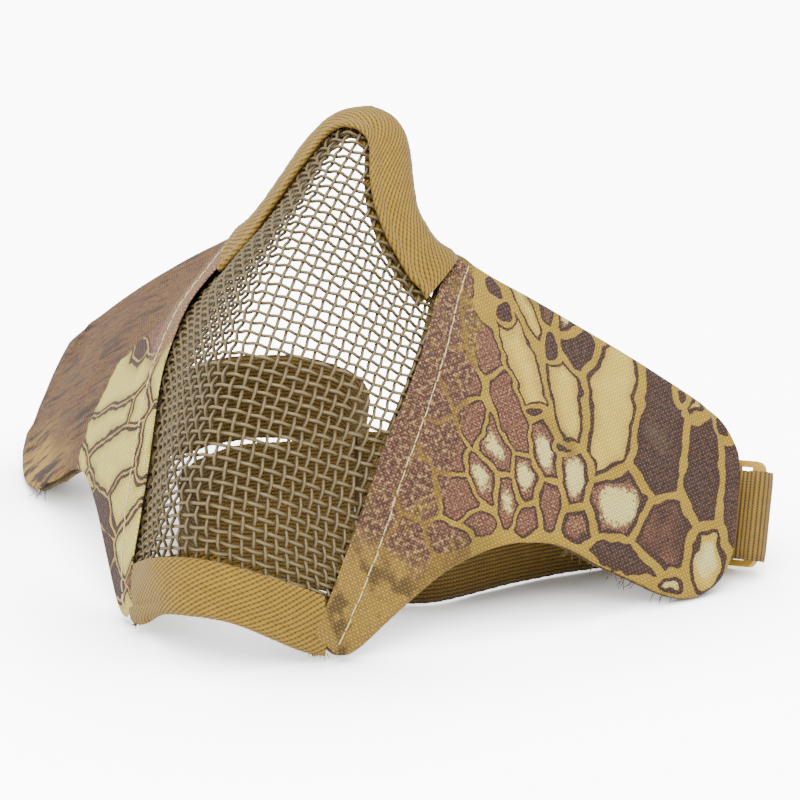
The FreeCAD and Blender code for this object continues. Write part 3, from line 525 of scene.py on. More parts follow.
def wire_material(name, tint):
    """Painted wire; tint lightens both paint colours."""
    m = Shader(name)
    mm = m.attribute("mm")
    grain = m.pattern(mm, freq=0.8, detail=4.0, rough=0.6)
    stain = m.pattern(mm, freq=0.07, detail=2.0, rough=0.5)
    color = m.mix(grain, (88 + tint, 80 + tint, 64 + tint), (118 + tint, 108 + tint, 86 + tint))
    color = m.mix(m.step(stain, lo=0.45, hi=0.7), color, (116, 98, 66), amount=0.35)
    # painted highlight: the outward side of each wire is lightened
    _, _, crown = m.split(mm)
    crown = m.step(m.add(crown, m.mul(grain, 0.35)), lo=0.78, hi=1.0)
    color = m.mix(crown, color, (170, 156, 126), amount=0.35)
    normal = m.bump(grain, strength=0.3, depth=0.00006)
    return m.finish(color, m.remap(grain, gain=0.2, offset=0.34), normal,
                    Metallic=0.12, Coat_Weight=0.15, Coat_Roughness=0.35)


def plastic_material():
    m = Shader("coyote_nylon")
    coords = m.object_coords()
    grain = m.noise(coords, detail=4.0, rough=0.6, scale=900.0)
    tint = m.noise(coords, detail=3.0, rough=0.6, scale=60.0)
    color = m.mix(tint, (168, 132, 66), (196, 160, 90))
    pointiness = m.node("ShaderNodeNewGeometry").outputs["Pointiness"]
    color = m.mix(m.step(pointiness, lo=0.52, hi=0.58), color, (222, 192, 130), amount=0.5)
    scratch = m.pattern(coords, freq=(60, 60, 1200), detail=2.0, rough=0.5)
    color = m.mix(m.step(scratch, lo=0.62, hi=0.7), color, (214, 186, 128), amount=0.18)
    normal = m.bump(grain, strength=0.25, depth=0.00012)
    return m.finish(color, m.remap(tint, gain=0.2, offset=0.38), normal)


def thread_material():
    m = Shader("cream_thread")
    along, angle, _ = m.split(m.attribute("mm"))
    twist = m.sine(m.add(m.mul(along, 9.0), m.mul(angle, 3.0)))
    # painted shade and highlight along the twist of the plies
    color = m.mix(m.remap(twist, gain=0.5, offset=0.5), (206, 190, 150), (240, 230, 200))
    return m.finish(color, 0.7, m.bump(twist, strength=0.6, depth=0.00008))


MAT_CAMO = {1: camo_material("camo_right", True), -1: camo_material("camo_left", False)}
MAT_TWILL = tape_material("twill_tape", "twill", light=(166, 144, 84), shade=(140, 118, 64),
                          gap_shade_color=(62, 46, 20))
MAT_WEB = tape_material("elastic_webbing", "web", light=(150, 130, 84), shade=(126, 106, 64),
                        gap_shade_color=(50, 38, 18))
MAT_STRAP = tape_material("elastic_strap", "strap", light=(138, 118, 72), shade=(114, 96, 56),
                          gap_shade_color=(56, 44, 22))
MAT_LINING = tape_material("lining_knit", "knit", light=(132, 114, 72), shade=(108, 92, 54),
                           gap_shade_color=(52, 40, 22))
# the cross wires take a lighter copy of the same paint as painted light
MAT_WEFT_LIT = wire_material("wire_weft_lit_paint", tint=8)
MAT_WARP = wire_material("wire_warp_paint", tint=0)
MAT_PLASTIC = plastic_material()
MAT_THREAD = thread_material()

# ---------------------------------------------------------------- front panel
# Panel coordinates: x across, up along the sloping panel, lift out of it to the front.
PANEL_ORIGIN = np.array([0.0, -12.47, 27.83])
PANEL_UP = np.array([0.0, 0.69111, 0.72275])
PANEL_OUT = np.array([0.0, -PANEL_UP[2], PANEL_UP[1]])
PITCH = 3.175              # spacing of the wires
WIRE_R = 0.475
WIRE_SWING = WIRE_R + 0.03     # how far a wire weaves to either side
WIRE_SIDES = 8
SIDE_DIP = 2.6             # how far the mesh sinks at its sides
HEM_COVERED = 3.4          # mesh hidden under the wings' edges
NOSE_COVERED = 1.6         # and under the nose and chin tapes
CHIN_COVERED = 1.8
STEPS_PER_PITCH = 6

# lift of the middle line against up
ridge_lift = curve(
    [-8, -2, 0, 5, 10, 14, 22, 32, 38.5, 54, 67, 78, 85, 99, 115, 130.4, 136],
    [-4.5, 1.6, 3.8, 8.8, 12.4, 14.5, 17.8, 20.8, 21.6, 22.0, 20.6, 18.8, 16.8, 12.0, 5.8, 0.0,
     -2.2])
# x and lift of the side edge against up
SIDE_UP = [-9.4, 0.4, 12.4, 27, 41.4, 54, 65.3, 77.9, 91.3, 99, 104, 110, 116, 126, 136]
side_x = curve(SIDE_UP, [26.9, 29.1, 30.5, 32.1, 33.8, 35.5, 36, 35.5, 33, 30, 28.5, 26, 24, 20,
                         17])
side_lift = curve(SIDE_UP, [-17.2, -14.3, -12.9, -11, -8.7, -7.9, -8.4, -10.6, -15.5, -19, -19.5,
                            -17, -14.5, -13.8, -14])
# roundness of the ridge, and how far the cross wires climb towards the sides, against up
ridge_round = curve([-8, 13, 26, 36, 60, 80, 100, 116, 130], [18, 16, 12, 9, 8, 7.5, 7, 6, 6])
weft_rise = curve([-8, 0, 13, 35, 60, 78, 100, 130], [1.5, 2.2, 2.8, 6.0, 4.6, 2.3, 0.4, 0.0])
# half width of the nose end against up
NOSE_START, NOSE_END = 91.0, 130.2
nose_x = curve(
    [NOSE_START, 91.6, 92.7, 94.8, 96.9, 99.3, 101.7, 104.4, 108.1, 112, 116.1, 122.4, 125.9,
     128.6, NOSE_END],
    [32.4, 29.4, 26.9, 24.3, 22.1, 19.5, 17.2, 15.3, 13.1, 11.3, 9.7, 7.7, 6.4, 4.7, 1.5])


def side_share(x, up):
    """0 on the middle line, 1 on the side edge, rounded over the ridge."""
    rounding = ridge_round(up)
    edge = side_x(up)
    return ((np.sqrt(x * x + rounding * rounding) - rounding)
            / (np.sqrt(edge * edge + rounding * rounding) - rounding))


def panel_lift(x, up):
    return ridge_lift(up) - (ridge_lift(up) - side_lift(up)) * side_share(x, up)


def panel_point(x, up, lift):
    x, up, lift = np.broadcast_arrays(np.asarray(x, float), up, lift)
    return np.stack([x, PANEL_ORIGIN[1] + up * PANEL_UP[1] + lift * PANEL_OUT[1],
                     PANEL_ORIGIN[2] + up * PANEL_UP[2] + lift * PANEL_OUT[2]], -1)


def wire_point(x, up, offset=0.0):
    """Point of the mesh surface, moved out along its normal by offset."""
    x, up, offset = np.broadcast_arrays(np.asarray(x, float), np.asarray(up, float),
                                        np.asarray(offset, float))
    offset = offset - SIDE_DIP * smoothstep(0.5, 1.0, np.abs(x) / side_x(up))
    delta = 0.05
    lift = panel_lift(x, up)
    slope_x = (panel_lift(x + delta, up) - panel_lift(x - delta, up)) / (2 * delta)
    slope_up = (panel_lift(x, up + delta) - panel_lift(x, up - delta)) / (2 * delta)
    length = np.sqrt(slope_x * slope_x + slope_up * slope_up + 1)
    return panel_point(x - offset * slope_x / length, up - offset * slope_up / length,
                       lift + offset / length)


def panel_normal(x, up):
    return unit(wire_point(x, up, 0.5) - wire_point(x, up, -0.5))


def inside_panel(x, up):
    """Whether the mesh reaches here, counting the part hidden under cloth."""
    nose_limit = nose_x(np.clip(up, NOSE_START, NOSE_END)) if False else nose_x(
        np.clip(up - NOSE_COVERED * 0.75, NOSE_START, NOSE_END)) + NOSE_COVERED * 0.62
    nose_ok = np.where(up > NOSE_START - NOSE_COVERED * 0.3,
                       (up <= NOSE_END + NOSE_COVERED) & (np.abs(x) <= nose_limit), True)
    side_limit = side_x(up) + HEM_COVERED * 0.72 - np.where(up < 0, 1.2, 0.0)
    return nose_ok & (np.abs(x) <= side_limit)


# rows are evenly spaced along the middle line
middle_up = np.arange(-CHIN_COVERED * 0.7, 134.0, 0.05)
middle_arc = arc_length(wire_point(0 * middle_up, middle_up))
ROWS = int(middle_arc[-1] // PITCH) + 1

# half of the mesh surface as a grid: row position by x
row_at = np.linspace(0, ROWS - 1, (ROWS - 1) * STEPS_PER_PITCH + 1)
grid_x = np.linspace(0, 42, 169)
row_up = np.interp(row_at * PITCH, middle_arc, middle_up)[:, None]
grid_up = row_up + weft_rise(row_up) * side_share(grid_x[None, :], row_up)
wide_x = np.broadcast_to(grid_x, grid_up.shape)
row_steps = np.linalg.norm(np.diff(wire_point(wide_x, grid_up), axis=1), axis=2)
grid_arc = np.concatenate([np.zeros((len(row_at), 1)), np.cumsum(row_steps, axis=1)], axis=1)
grid_inside = inside_panel(wide_x, grid_up)


def weft_tubes():
    """Wires that run across the panel."""
    tubes = []
    for i in range(ROWS):
        row = i * STEPS_PER_PITCH
        inside = grid_inside[row]
        last = len(grid_x) - 1 if inside.all() else int(np.argmin(inside)) - 1
        if last < 6:
            continue
        limit = grid_arc[row][last]
        across = np.linspace(-limit, limit, max(9, int(2 * limit / PITCH * STEPS_PER_PITCH)))
        x = np.interp(np.abs(across), grid_arc[row], grid_x) * np.sign(across)
        up = np.interp(np.abs(across), grid_arc[row], grid_up[row])
        wobble = 0.06 * np.sin(across * 0.21 + i * 1.7)
        swing = WIRE_SWING * np.cos(math.pi * (across / PITCH + i))
        path = wire_point(x, up + wobble, swing)
        tubes.append(tube(path, panel_normal(x, up), WIRE_R, WIRE_SIDES))
    return tubes


def warp_tubes():
    """Wires that run up the panel, cut where the outline interrupts them."""
    tubes = []
    for j in range(-16, 17):
        across = abs(j) * PITCH
        x = np.array([np.interp(across, arc, grid_x) for arc in grid_arc]) * (1 if j >= 0 else -1)
        up = np.array([np.interp(across, arc, ups) for arc, ups in zip(grid_arc, grid_up)])
        kept = np.nonzero(inside_panel(x, up) & (across < grid_arc[:, -1]))[0]
        for run in np.split(kept, np.nonzero(np.diff(kept) > 1)[0] + 1):
            if len(run) < 3 * STEPS_PER_PITCH:
                continue
            row = row_at[run]
            swing = -WIRE_SWING * np.cos(math.pi * (j + row))
            path = wire_point(x[run] + 0.05 * np.sin(row * 0.9 + j), up[run], swing)
            tubes.append(tube(path, panel_normal(x[run], up[run]), WIRE_R, WIRE_SIDES))
    return tubes


attach(join_tubes("wire_weft", weft_tubes(), MAT_WEFT_LIT), "front_shell", "mesh_paint",
       "mesh_weft_wires")
attach(join_tubes("wire_warp", warp_tubes(), MAT_WARP), "front_shell", "mesh_paint",
       "mesh_warp_wires")

# ---------------------------------------------------------------- nose and chin tapes
# From the middle outwards: tape edge on the mesh (x, up), free edge (x, up, lift).
NOSE_EDGES = np.array([
    (0.0, 130.4, 0.0, 143.7, -12.8), (2.4, 130.1, 4.6, 142.2, -12.2),
    (4.7, 128.7, 8.8, 139.6, -11.7), (6.4, 125.9, 12.0, 135.8, -11.7),
    (7.7, 122.4, 14.3, 131.2, -11.5), (9.7, 116.1, 16.1, 126.8, -11.8),
    (11.3, 112.0, 17.5, 122.8, -12.2), (13.1, 108.1, 18.9, 119.2, -12.8),
    (15.3, 104.4, 20.3, 116.2, -13.4), (17.2, 101.7, 21.8, 114.0, -14.5),
    (19.5, 99.3, 23.6, 112.0, -16.0), (22.1, 96.9, 25.3, 110.4, -17.3),
    (24.3, 94.8, 27.0, 109.3, -18.5), (26.9, 93.0, 28.7, 108.7, -20.0),
    (29.4, 92.0, 30.4, 108.5, -21.4), (31.6, 89.8, 32.0, 107.0, -23.2)])
TAPE_T = 1.3
TAPE_GAP = 1.44                    # from the mesh surface to the near face of the tape
TAPE_TOP = TAPE_GAP + TAPE_T
PROFILE_POINTS = 110
NOSE_RINGS = 420
CHIN_RINGS = 220
CHIN_END = 28.0                    # half length of the chin tape
# y and z of the chin tape's free edge against x
CHIN_X = [0, 6.8, 11.5, 15.2, 18.9, 22.8, 25.9, 28.5]
chin_y = curve(CHIN_X, [-20.6, -20.0, -18.2, -15.0, -11.2, -7.6, -4.6, -2.2])
chin_z = curve(CHIN_X, [15.4, 14.6, 12.9, 10.4, 7.6, 4.6, 2.4, 1.2])


def tape_places(x, up, free_edge):
    """Point makers (across, out) for a tape section, and the section's width.

    near sits on the mesh edge and its normal, face on the mesh edge and the tape's
    normal, rim on the free edge and the tape's normal.
    """
    mesh_edge = wire_point(x, up)
    mesh_out = unit(wire_point(x, up, 1.0) - mesh_edge)
    along = unit(free_edge - mesh_edge)
    tape_out = unit(mesh_out - along * np.dot(mesh_out, along))

    def near(across, out):
        return mesh_edge + along * across + mesh_out * out

    def face(across, out):
        return mesh_edge + along * across + tape_out * out

    def rim(across, out):
        return free_edge + along * across + tape_out * out
    return near, face, rim, np.linalg.norm(free_edge - mesh_edge)


def rounded_profile(corners):
    """Closed polygon as evenly spaced points, softened a little."""
    corners = np.array(corners)
    corners = np.concatenate([corners, corners[:1]])
    along = arc_length(corners)
    ring = points_at(np.linspace(0, along[-1], PROFILE_POINTS, endpoint=False), along, corners)
    for _ in range(max(1, PROFILE_POINTS // 40)):
        ring = 0.25 * np.roll(ring, 1, 0) + 0.5 * ring + 0.25 * np.roll(ring, -1, 0)
    return ring


def nose_ring(share):
    """Section of the nose tape; share runs -1..1 along it, 0 at the top."""
    index = np.arange(len(NOSE_EDGES))
    place = abs(share) * (len(NOSE_EDGES) - 1)
    x, up, *free = (float(curve(index, column)(place)) for column in NOSE_EDGES.T)
    near, face, rim, width = tape_places(x, up, panel_point(*free))
    ring = rounded_profile([
        near(-0.1, TAPE_GAP * 0.9), near(-0.75, TAPE_GAP * 0.95 + TAPE_T * 0.15),
        near(-0.95, TAPE_GAP + TAPE_T * 0.75), near(-0.15, TAPE_TOP + 0.25),
        face(1.6, TAPE_TOP + 0.25), face(2.6, TAPE_TOP - 0.15),
        face(width * 0.35, TAPE_TOP + 1.0), face(width * 0.58, TAPE_TOP + 1.15),
        face(width * 0.80, TAPE_TOP + 0.55),
        rim(-0.6, 1.3), rim(0.3, 0.0), rim(0.2, -1.4), rim(-0.8, -2.3),
        face(width * 0.75, -TAPE_TOP - 1.0), face(width * 0.35, -TAPE_TOP - 0.8),
        near(0.0, -TAPE_TOP), near(-0.5, -TAPE_GAP - TAPE_T * 0.5), near(0.0, -TAPE_GAP * 0.9),
        face(3.0, -TAPE_GAP * 0.5), face(3.0, TAPE_GAP * 0.5)])
    return on_side(ring, -1 if share < 0 else 1)


def chin_ring(x):
    free_edge = np.array([x, float(chin_y(abs(x))), float(chin_z(abs(x)))])
    near, face, rim, width = tape_places(x, -0.5 + 0.5 * (x / CHIN_END) ** 2, free_edge)
    return rounded_profile([
        near(0.0, TAPE_GAP), near(-0.45, TAPE_GAP + TAPE_T * 0.2),
        near(-0.35, TAPE_GAP + TAPE_T * 0.9), near(1.0, TAPE_TOP),
        face(width * 0.45, TAPE_TOP + 0.25), face(width - 2.6, 1.7),
        rim(-0.7, 0.9), rim(0.1, -0.4), rim(0.1, -1.6), rim(-0.9, -2.9),
        face(width * 0.5, -TAPE_TOP - 0.4), near(0.0, -TAPE_TOP),
        near(-0.35, -TAPE_GAP - TAPE_T * 0.5), near(0.0, -TAPE_GAP),
        face(4.0, -TAPE_GAP * 0.6), face(4.0, TAPE_GAP * 0.6)])


def twill_rib(along, around):
    return 0.07 * np.sin(2 * math.pi * (TWILL_SLANT * along + around) / TWILL_PITCH)


def nose_relief(along, around):
    # the rolled lip next to the wires is smoother
    end = around.max()
    cloth = smoothstep(5.0, 7.0, around) * (1 - smoothstep(end * 0.55, end * 0.6, around))
    pucker = 0.08 * np.sin(along * 0.9) * np.sin(along * 0.37 + 1.0)
    return twill_rib(along, around) * (0.35 + 0.65 * cloth) + pucker


def chin_relief(along, around):
    crease = -0.35 * np.exp(-((around - 12.6 - 0.5 * np.sin(along * 0.12)) / 0.5) ** 2)
    wave = 0.35 * np.sin(along * 0.23 + 0.4) * smoothstep(5, 14, around)
    return twill_rib(along, around) + crease + wave * (1 - smoothstep(17, 24, around))


def twill_tape(name, rings, relief):
    """Skin over profile rings, raised by relief(along, around)."""
    rings = np.stack(rings)
    count, sides = rings.shape[:2]
    ring_step = np.linalg.norm(np.diff(rings, axis=0), axis=2).mean(axis=1)
    side_step = np.linalg.norm(np.roll(rings, -1, 1) - rings, axis=2).mean(axis=0)
    along, around = np.meshgrid(np.concatenate([[0], np.cumsum(ring_step)]),
                                np.concatenate([[0], np.cumsum(side_step)])[:-1], indexing='ij')
    normal = unit(np.cross(np.gradient(rings, axis=0),
                           np.roll(rings, -1, 1) - np.roll(rings, 1, 1)))
    centre = rings.mean(axis=1, keepdims=True)
    outward = np.sign(np.sum((rings - centre) * normal))
    points = rings + normal * outward * relief(along, around)[..., None]
    return new_mesh(name, points, loft_faces(count, sides), MAT_TWILL,
                    {"mm": np.stack([along, around, 0 * along], -1)}, reverse=outward > 0)


attach(twill_tape("nose_tape", [nose_ring(k) for k in np.linspace(-1, 1, NOSE_RINGS)],
                  nose_relief), "front_shell", "binding", "nose_binding", "nose_padding")
attach(twill_tape("chin_tape",
                  [chin_ring(x) for x in np.linspace(-CHIN_END, CHIN_END, CHIN_RINGS)],
                  chin_relief), "front_shell", "binding", "chin_binding")

# ---------------------------------------------------------------- wing surface
# Wing coordinates: rear runs from the seam to the rear edge, up along the seam, lift outwards.
WING_ORIGIN = np.array([31.2, 20.0, 45.0])
WING_REAR = np.array([0.72296466, 0.48082578, -0.49611357])
WING_UP = np.array([0.0326703, 0.69348798, 0.71972708])
WING_OUT = np.array([0.69011213, -0.53654543, 0.48565858])
# rear and lift of the seam against up
seam_rear = curve([-46, -44.4, -34.5, -22.5, -7.9, 6.6, 19.2, 30.5, 43.1, 56.6, 66, 74.0, 76],
                  [2.3, 2.0, 1.3, 1.0, 0.4, -0.4, -0.2, 0.5, 1.0, 2.0, 3.6, 5.4, 5.8])
seam_lift = curve([-46, -44.4, -34.5, -22.5, -7.9, 6.6, 19.2, 30.5, 43.1, 56.6, 74.0],
                  [-7.4, -6.2, -2.8, -1.0, 1.2, 3.9, 5.5, 5.0, 3.2, -2.1, -9.5])
RIGHT_END = 110.0          # rear edge of the right wing
LEFT_END = 118.8           # and of the left one, whose upper part stops at the step
LEFT_STEP = 109.8
# up of the lower and upper edges against rear; both wings start alike
LOWER_REAR = [0, 6, 12, 14.6, 16.8, 19, 21.2, 24.2, 27.3, 32.4, 38.2, 44, 50, 55.5, 61.8, 70.7,
              81, 89.9, 96, 101]
LOWER_UP = [-44.4, -45.2, -45.4, -43.8, -40, -34.8, -29.8, -23.6]
UPPER_REAR = [0, 5.4, 17.7, 30.5, 46.4, 63.6, 73.4, 87.4]
UPPER_UP = [74.0, 74.0, 71.8, 70.7, 69, 67.4, 66.3, 64.6]
right_lower = curve(
    LOWER_REAR + [105.4, 108.2, 109.4, RIGHT_END],
    LOWER_UP + [-17.6, -10.6, -4.6, -0.2, 2.8, 4.9, 5.7, 5.6, 6.4, 6.9, 7.8, 9.6, 12.9, 17.0,
                20.5, 24.0])
right_upper = curve(
    UPPER_REAR + [93.6, 97.6, 101.4, 104, 105.6, 107.8, 109.4, RIGHT_END],
    UPPER_UP + [63.4, 61.2, 57.6, 53.9, 45.1, 36.8, 30.0, 26.5])
left_lower = curve(
    LOWER_REAR + [107, 111.8, 115.0, 118.2, LEFT_END],
    LOWER_UP + [-17.8, -10.9, -4.6, -0.2, 2.4, 4.0, 4.6, 5.0, 6.4, 7.3, 8.6, 10.6, 13.6, 17.6,
                21.6, 27.4, 29.4])
left_upper = curve(
    UPPER_REAR + [98, 106, 108.6, 109.3, 109.7, 110.0, 110.4, 111.4, 115.6, 118.0, LEFT_END],
    UPPER_UP + [63.4, 62.9, 62.3, 60.6, 52.0, 42.0, 36.4, 35.0, 33.6, 32.4, 31.0])
# columns of the left grid around and behind the step
LEFT_TAIL = [108.5, 109.1, 109.4, 109.6, 109.8, 110.0, 110.25, 110.8, 112.2, 113.8, 115.4, 116.9,
             118.0, LEFT_END]


def wing_bulge(rear, up):
    """Quadratic surface of the wing away from the seam."""
    return (4.92936 + 0.00225 * rear + 0.10058 * up - 0.00093 * rear * rear
            + 0.00181 * rear * up - 0.00415 * up * up)


def wing_lift(rear, up):
    seam = seam_rear(up)
    near = np.maximum(0.0, 1.0 - (rear - seam) / 26.0)
    return wing_bulge(rear, up) + (seam_lift(up) - wing_bulge(seam, up)) * near * near


def wing_point(rear, up, offset=0.0):
    rear, up, offset = np.broadcast_arrays(np.asarray(rear, float), np.asarray(up, float),
                                           np.asarray(offset, float))
    lift = wing_lift(rear, up) + offset
    return (WING_ORIGIN + rear[..., None] * WING_REAR + up[..., None] * WING_UP
            + lift[..., None] * WING_OUT)


def eased(count, length):
    """Columns that start and end a little wider apart than in the middle."""
    u = np.linspace(0, 1, count)
    return u, length * (u + 0.10 * np.sin(2 * math.pi * u) / (2 * math.pi))


def wing_grid(columns, rows, side, inset=0.0):
    """Grid of (rear, up) over the wing's outline."""
    if side > 0:
        lower, upper, end = right_lower, right_upper, RIGHT_END - inset
        u, nominal = eased(columns, end)
        # columns get closer towards the rounded rear edge
        k = smoothstep(0.80, 1.0, u)
        nominal = nominal * (1 - k) + (end - (end - nominal) * (1 - 0.72 * k)) * k
    else:
        lower, upper, end = left_lower, left_upper, LEFT_END - inset
        _, head = eased(columns - len(LEFT_TAIL), 107.6)
        nominal = np.minimum(np.concatenate([head, LEFT_TAIL]), end)
    low = lower(nominal) + inset
    high = upper(nominal) - inset
    middle = 0.5 * (low + high)
    low = np.minimum(low, middle - 0.8)
    high = np.maximum(high, middle + 0.8)
    v = np.linspace(0, 1, rows)
    up = low[:, None] * (1 - v) + high[:, None] * v
    rear = nominal[:, None] + seam_rear(up) * np.clip(1 - nominal[:, None] / 12.0, 0, 1)
    return rear, up


def edge_distance(rear, up, side):
    """Rough distance to the cloth outline, seam side left out."""
    if side > 0:
        behind = RIGHT_END - rear
    else:
        k = smoothstep(35.0, 41.0, up)
        behind = (LEFT_END - rear) * (1 - k) + (LEFT_STEP - rear) * k
    return np.minimum(np.maximum(behind, 0), np.minimum(up - up[:, :1], up[:, -1:] - up))


def two_skins(name, outer, inner, rear, up, side, material, attributes):
    """Closed sheet: outer and inner skin joined round the edge."""
    nu, nv = rear.shape
    count = nu * nv
    rim = ([i * nv for i in range(nu)] + [(nu - 1) * nv + j for j in range(1, nv)]
           + [i * nv + nv - 1 for i in range(nu - 2, -1, -1)] + list(range(nv - 2, 0, -1)))
    skin = grid_faces(nu, nv)
    faces = [*skin, *(skin[:, ::-1] + count)]
    faces += [(a + count, b + count, b, a) for a, b in zip(rim, rim[1:] + rim[:1])]
    coords = np.tile(np.stack([rear, up, 0 * rear], -1).reshape(-1, 3), (2, 1))
    points = on_side(np.concatenate([outer.reshape(-1, 3), inner.reshape(-1, 3)]), side)
    return new_mesh(name, points, faces, material, {key: coords for key in attributes},
                    reverse=side > 0)


# Points between which the cloth would change from following the panel to following the wing;
# attach_folding works them out but nothing uses them.
FOLD_START = WING_ORIGIN + 6.5 * WING_REAR - 1.5 * WING_OUT
FOLD_END = WING_ORIGIN + 13.5 * WING_REAR - 1.5 * WING_OUT


def attach_folding(obj, side, label, slot, *replaced):
    start, end = (tuple(product_metres(on_side(point, side)).tolist())
                  for point in (FOLD_START, FOLD_END))
    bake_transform(obj)
    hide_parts(*(label + "_" + node for node in replaced))


# ---------------------------------------------------------------- camouflage print
# Cells as ellipses: centre rear and up, three terms of the ellipse's metric
# (rear-rear, rear-up, up-up), tone, pale heart.
RIGHT_CELLS = [
    (60.1, 48.4, 0.01497, 0.00058, 0.00306, 0, 0), (46.1, 44.1, 0.03118, 0.01312, 0.01325, 0, 0),
    (30.2, 48.5, 0.03722, 0.01919, 0.01671, 0, 0), (46, 62.3, 0.04571, 0.00292, 0.02252, 1, 0),
    (41.5, 68.3, 0.05858, 0.00534, 0.04166, 0.5, 0.6), (76.6, 48.5, 0.0169, 0.00267, 0.00355, 1, 0),
    (92.3, 45.2, 0.02378, 0.0057, 0.00663, 1, 0), (103.6, 46.4, 0.05236, 0.01304, 0.00775, 0.8, 0),
    (101.9, 22, 0.02846, 0.00318, 0.015, 0.02, 1), (87, 22.7, 0.01287, 0.00035, 0.01349, 0.75, 0),
    (70.1, 23.1, 0.01396, -0.00239, 0.01357, 0.5, 1), (76.2, 10.5, 0.01028, -0.0061, 0.07409, 1, 0),
    (94, 10, 0.05364, -0.02262, 0.14228, 0.02, 1), (54.7, 24.6, 0.0455, 0.01204, 0.02341, 0.45, 1),
    (60.3, 12, 0.03978, -0.0032, 0.04552, 0.5, 0.3),
    (50.1, 13.8, 0.06553, 0.01638, 0.0285, 0.55, 0.2),
    (44.8, 6.6, 0.06908, 0.00047, 0.06503, 0.5, 0.2),
    (43.8, 26.7, 0.05973, 0.02882, 0.03557, 0.45, 0.9),
    (40.3, 17.8, 0.08381, 0.02219, 0.03732, 0.45, 1),
    (37.3, 9.2, 0.06919, 0.02151, 0.04116, 0.5, 0.6),
    (29, 21.8, 0.03694, 0.02262, 0.03946, 0.5, 0.7),
    (27.9, 12, 0.03838, 0.02673, 0.05799, 0.5, 0.7),
    (30.6, 33.2, 0.0387, 0.02567, 0.03019, 0.5, 0.15),
    (17, 48.6, 0.03097, 0.01817, 0.02831, 0.55, 0),
    (35.1, 69.3, 0.12315, 0.04443, 0.07348, 0.7, 0), (27.9, 68, 0.09171, 0.05723, 0.05089, 0, 0),
    (37.8, 57.7, 0.15999, 0.02562, 0.06034, 0.85, 0),
    (85.5, 61.3, 0.10101, -0.01063, 0.07725, 0.1, 0),
    (18.5, 67.9, 0.18788, 0.06734, 0.13525, 0.9, 0),
    (22.8, 60.5, 0.18773, 0.01791, 0.09175, 0.95, 0),
    (37.6, 36.2, 0.19953, -0.07088, 0.3537, 0.9, 0), (49.6, 30.2, 0.13543, -0.14722, 0.4327, 1, 0),
    (81.7, 62.4, 0.11919, 0.01528, 0.15717, 1, 0), (96.9, 59.5, 0.12607, 0.05907, 0.12686, 0.9, 0),
    (6, 50.6, 0.04224, 0.00893, 0.01809, 0.5, 0), (12.6, 34.5, 0.02554, 0.00561, 0.01786, 0.5, 0),
    (20.4, 25.4, 0.04141, 0.01281, 0.03706, 0.5, 0), (15.9, 15, 0.01978, 0.00608, 0.01958, 0.5, 0),
    (7.3, 27.6, 0.04037, 0.01858, 0.02598, 0.5, 0), (22.2, 4.3, 0.02416, 0.00562, 0.03264, 0.5, 0.1),
    (31.9, 0, 0.04675, -0.01339, 0.10478, 0.5, 0), (25, -7, 0.03511, -0.01822, 0.06985, 0.5, 0),
    (12.9, 0.8, 0.03131, 0.00886, 0.02516, 0.5, 0), (15.5, -14.4, 0.02535, 0.00597, 0.02464, 0.5, 0),
    (6.1, -8.6, 0.05688, 0.02392, 0.03926, 0.6, 0), (14.1, -24.6, 0.03347, 0.00659, 0.02797, 0.9, 0),
    (7.7, -30.6, 0.04583, 0.0235, 0.04015, 0.5, 0), (23.8, -30, 0.0309, -0.00925, 0.05856, 0.4, 0),
    (17.1, -39.2, 0.04386, -0.00238, 0.03228, 0.5, 0),
    (12, -44.5, 0.06633, 0.03424, 0.07118, 0.3, 0),
    (2.4, 6.3, 0.05539, 0.02212, 0.03717, 0.5, 0), (8.3, 66.2, 0.07719, 0.02627, 0.04227, 0.4, 0),
    (0.6, 59.6, 0.10171, 0.01881, 0.03641, 0.5, 0),
]
LEFT_CELLS = [
    (33.9, 25.4, 0.00171, -0.00071, 0.01223, 0, 0), (32.3, 11.1, 0.0026, -0.00169, 0.0413, 0, 0),
    (22.7, -2.2, 0.00472, 0.00051, 0.0153, 0, 0), (10.5, -14.8, 0.01311, 0.00229, 0.02429, 0, 0),
    (27.6, -12.8, 0.03365, -0.0333, 0.04943, 1, 0), (6.1, -26.2, 0.02407, 0.00744, 0.02125, 0, 0),
    (8.7, 11.6, 0.0416, 0.01284, 0.03448, 0, 0), (2, -2.7, 0.11225, 0.01709, 0.01624, 0, 0),
    (22.7, -26.1, 0.06062, -0.04312, 0.05063, 1, 0), (15, -36.8, 0.04834, -0.03018, 0.04605, 0.9, 0),
    (8.5, -44.3, 0.03658, -0.03528, 0.08426, 0, 0), (46.3, 5.4, 0.07435, -0.05601, 0.0643, 0.1, 0),
    (0.8, 20.2, 0.02967, 0.00622, 0.01811, 0, 0), (23, 31.2, 0.03231, -0.02276, 0.06069, 0.9, 0),
    (35.6, -5, 0.06895, -0.06023, 0.10024, 0.1, 0), (12.9, 35.6, 0.01846, -0.00738, 0.01878, 0.6, 0),
]


def soft_noise(x, y, seed):
    """Smooth value noise, -1..1."""
    values = np.random.default_rng(seed).random((64, 64)) * 2 - 1
    i, j = np.floor(x).astype(int), np.floor(y).astype(int)
    x, y = x - i, y - j
    x, y = x * x * (3 - 2 * x), y * y * (3 - 2 * y)

    def blend_x(row):
        return values[i % 64, row % 64] * (1 - x) + values[(i + 1) % 64, row % 64] * x
    return blend_x(j) * (1 - y) + blend_x(j + 1) * y


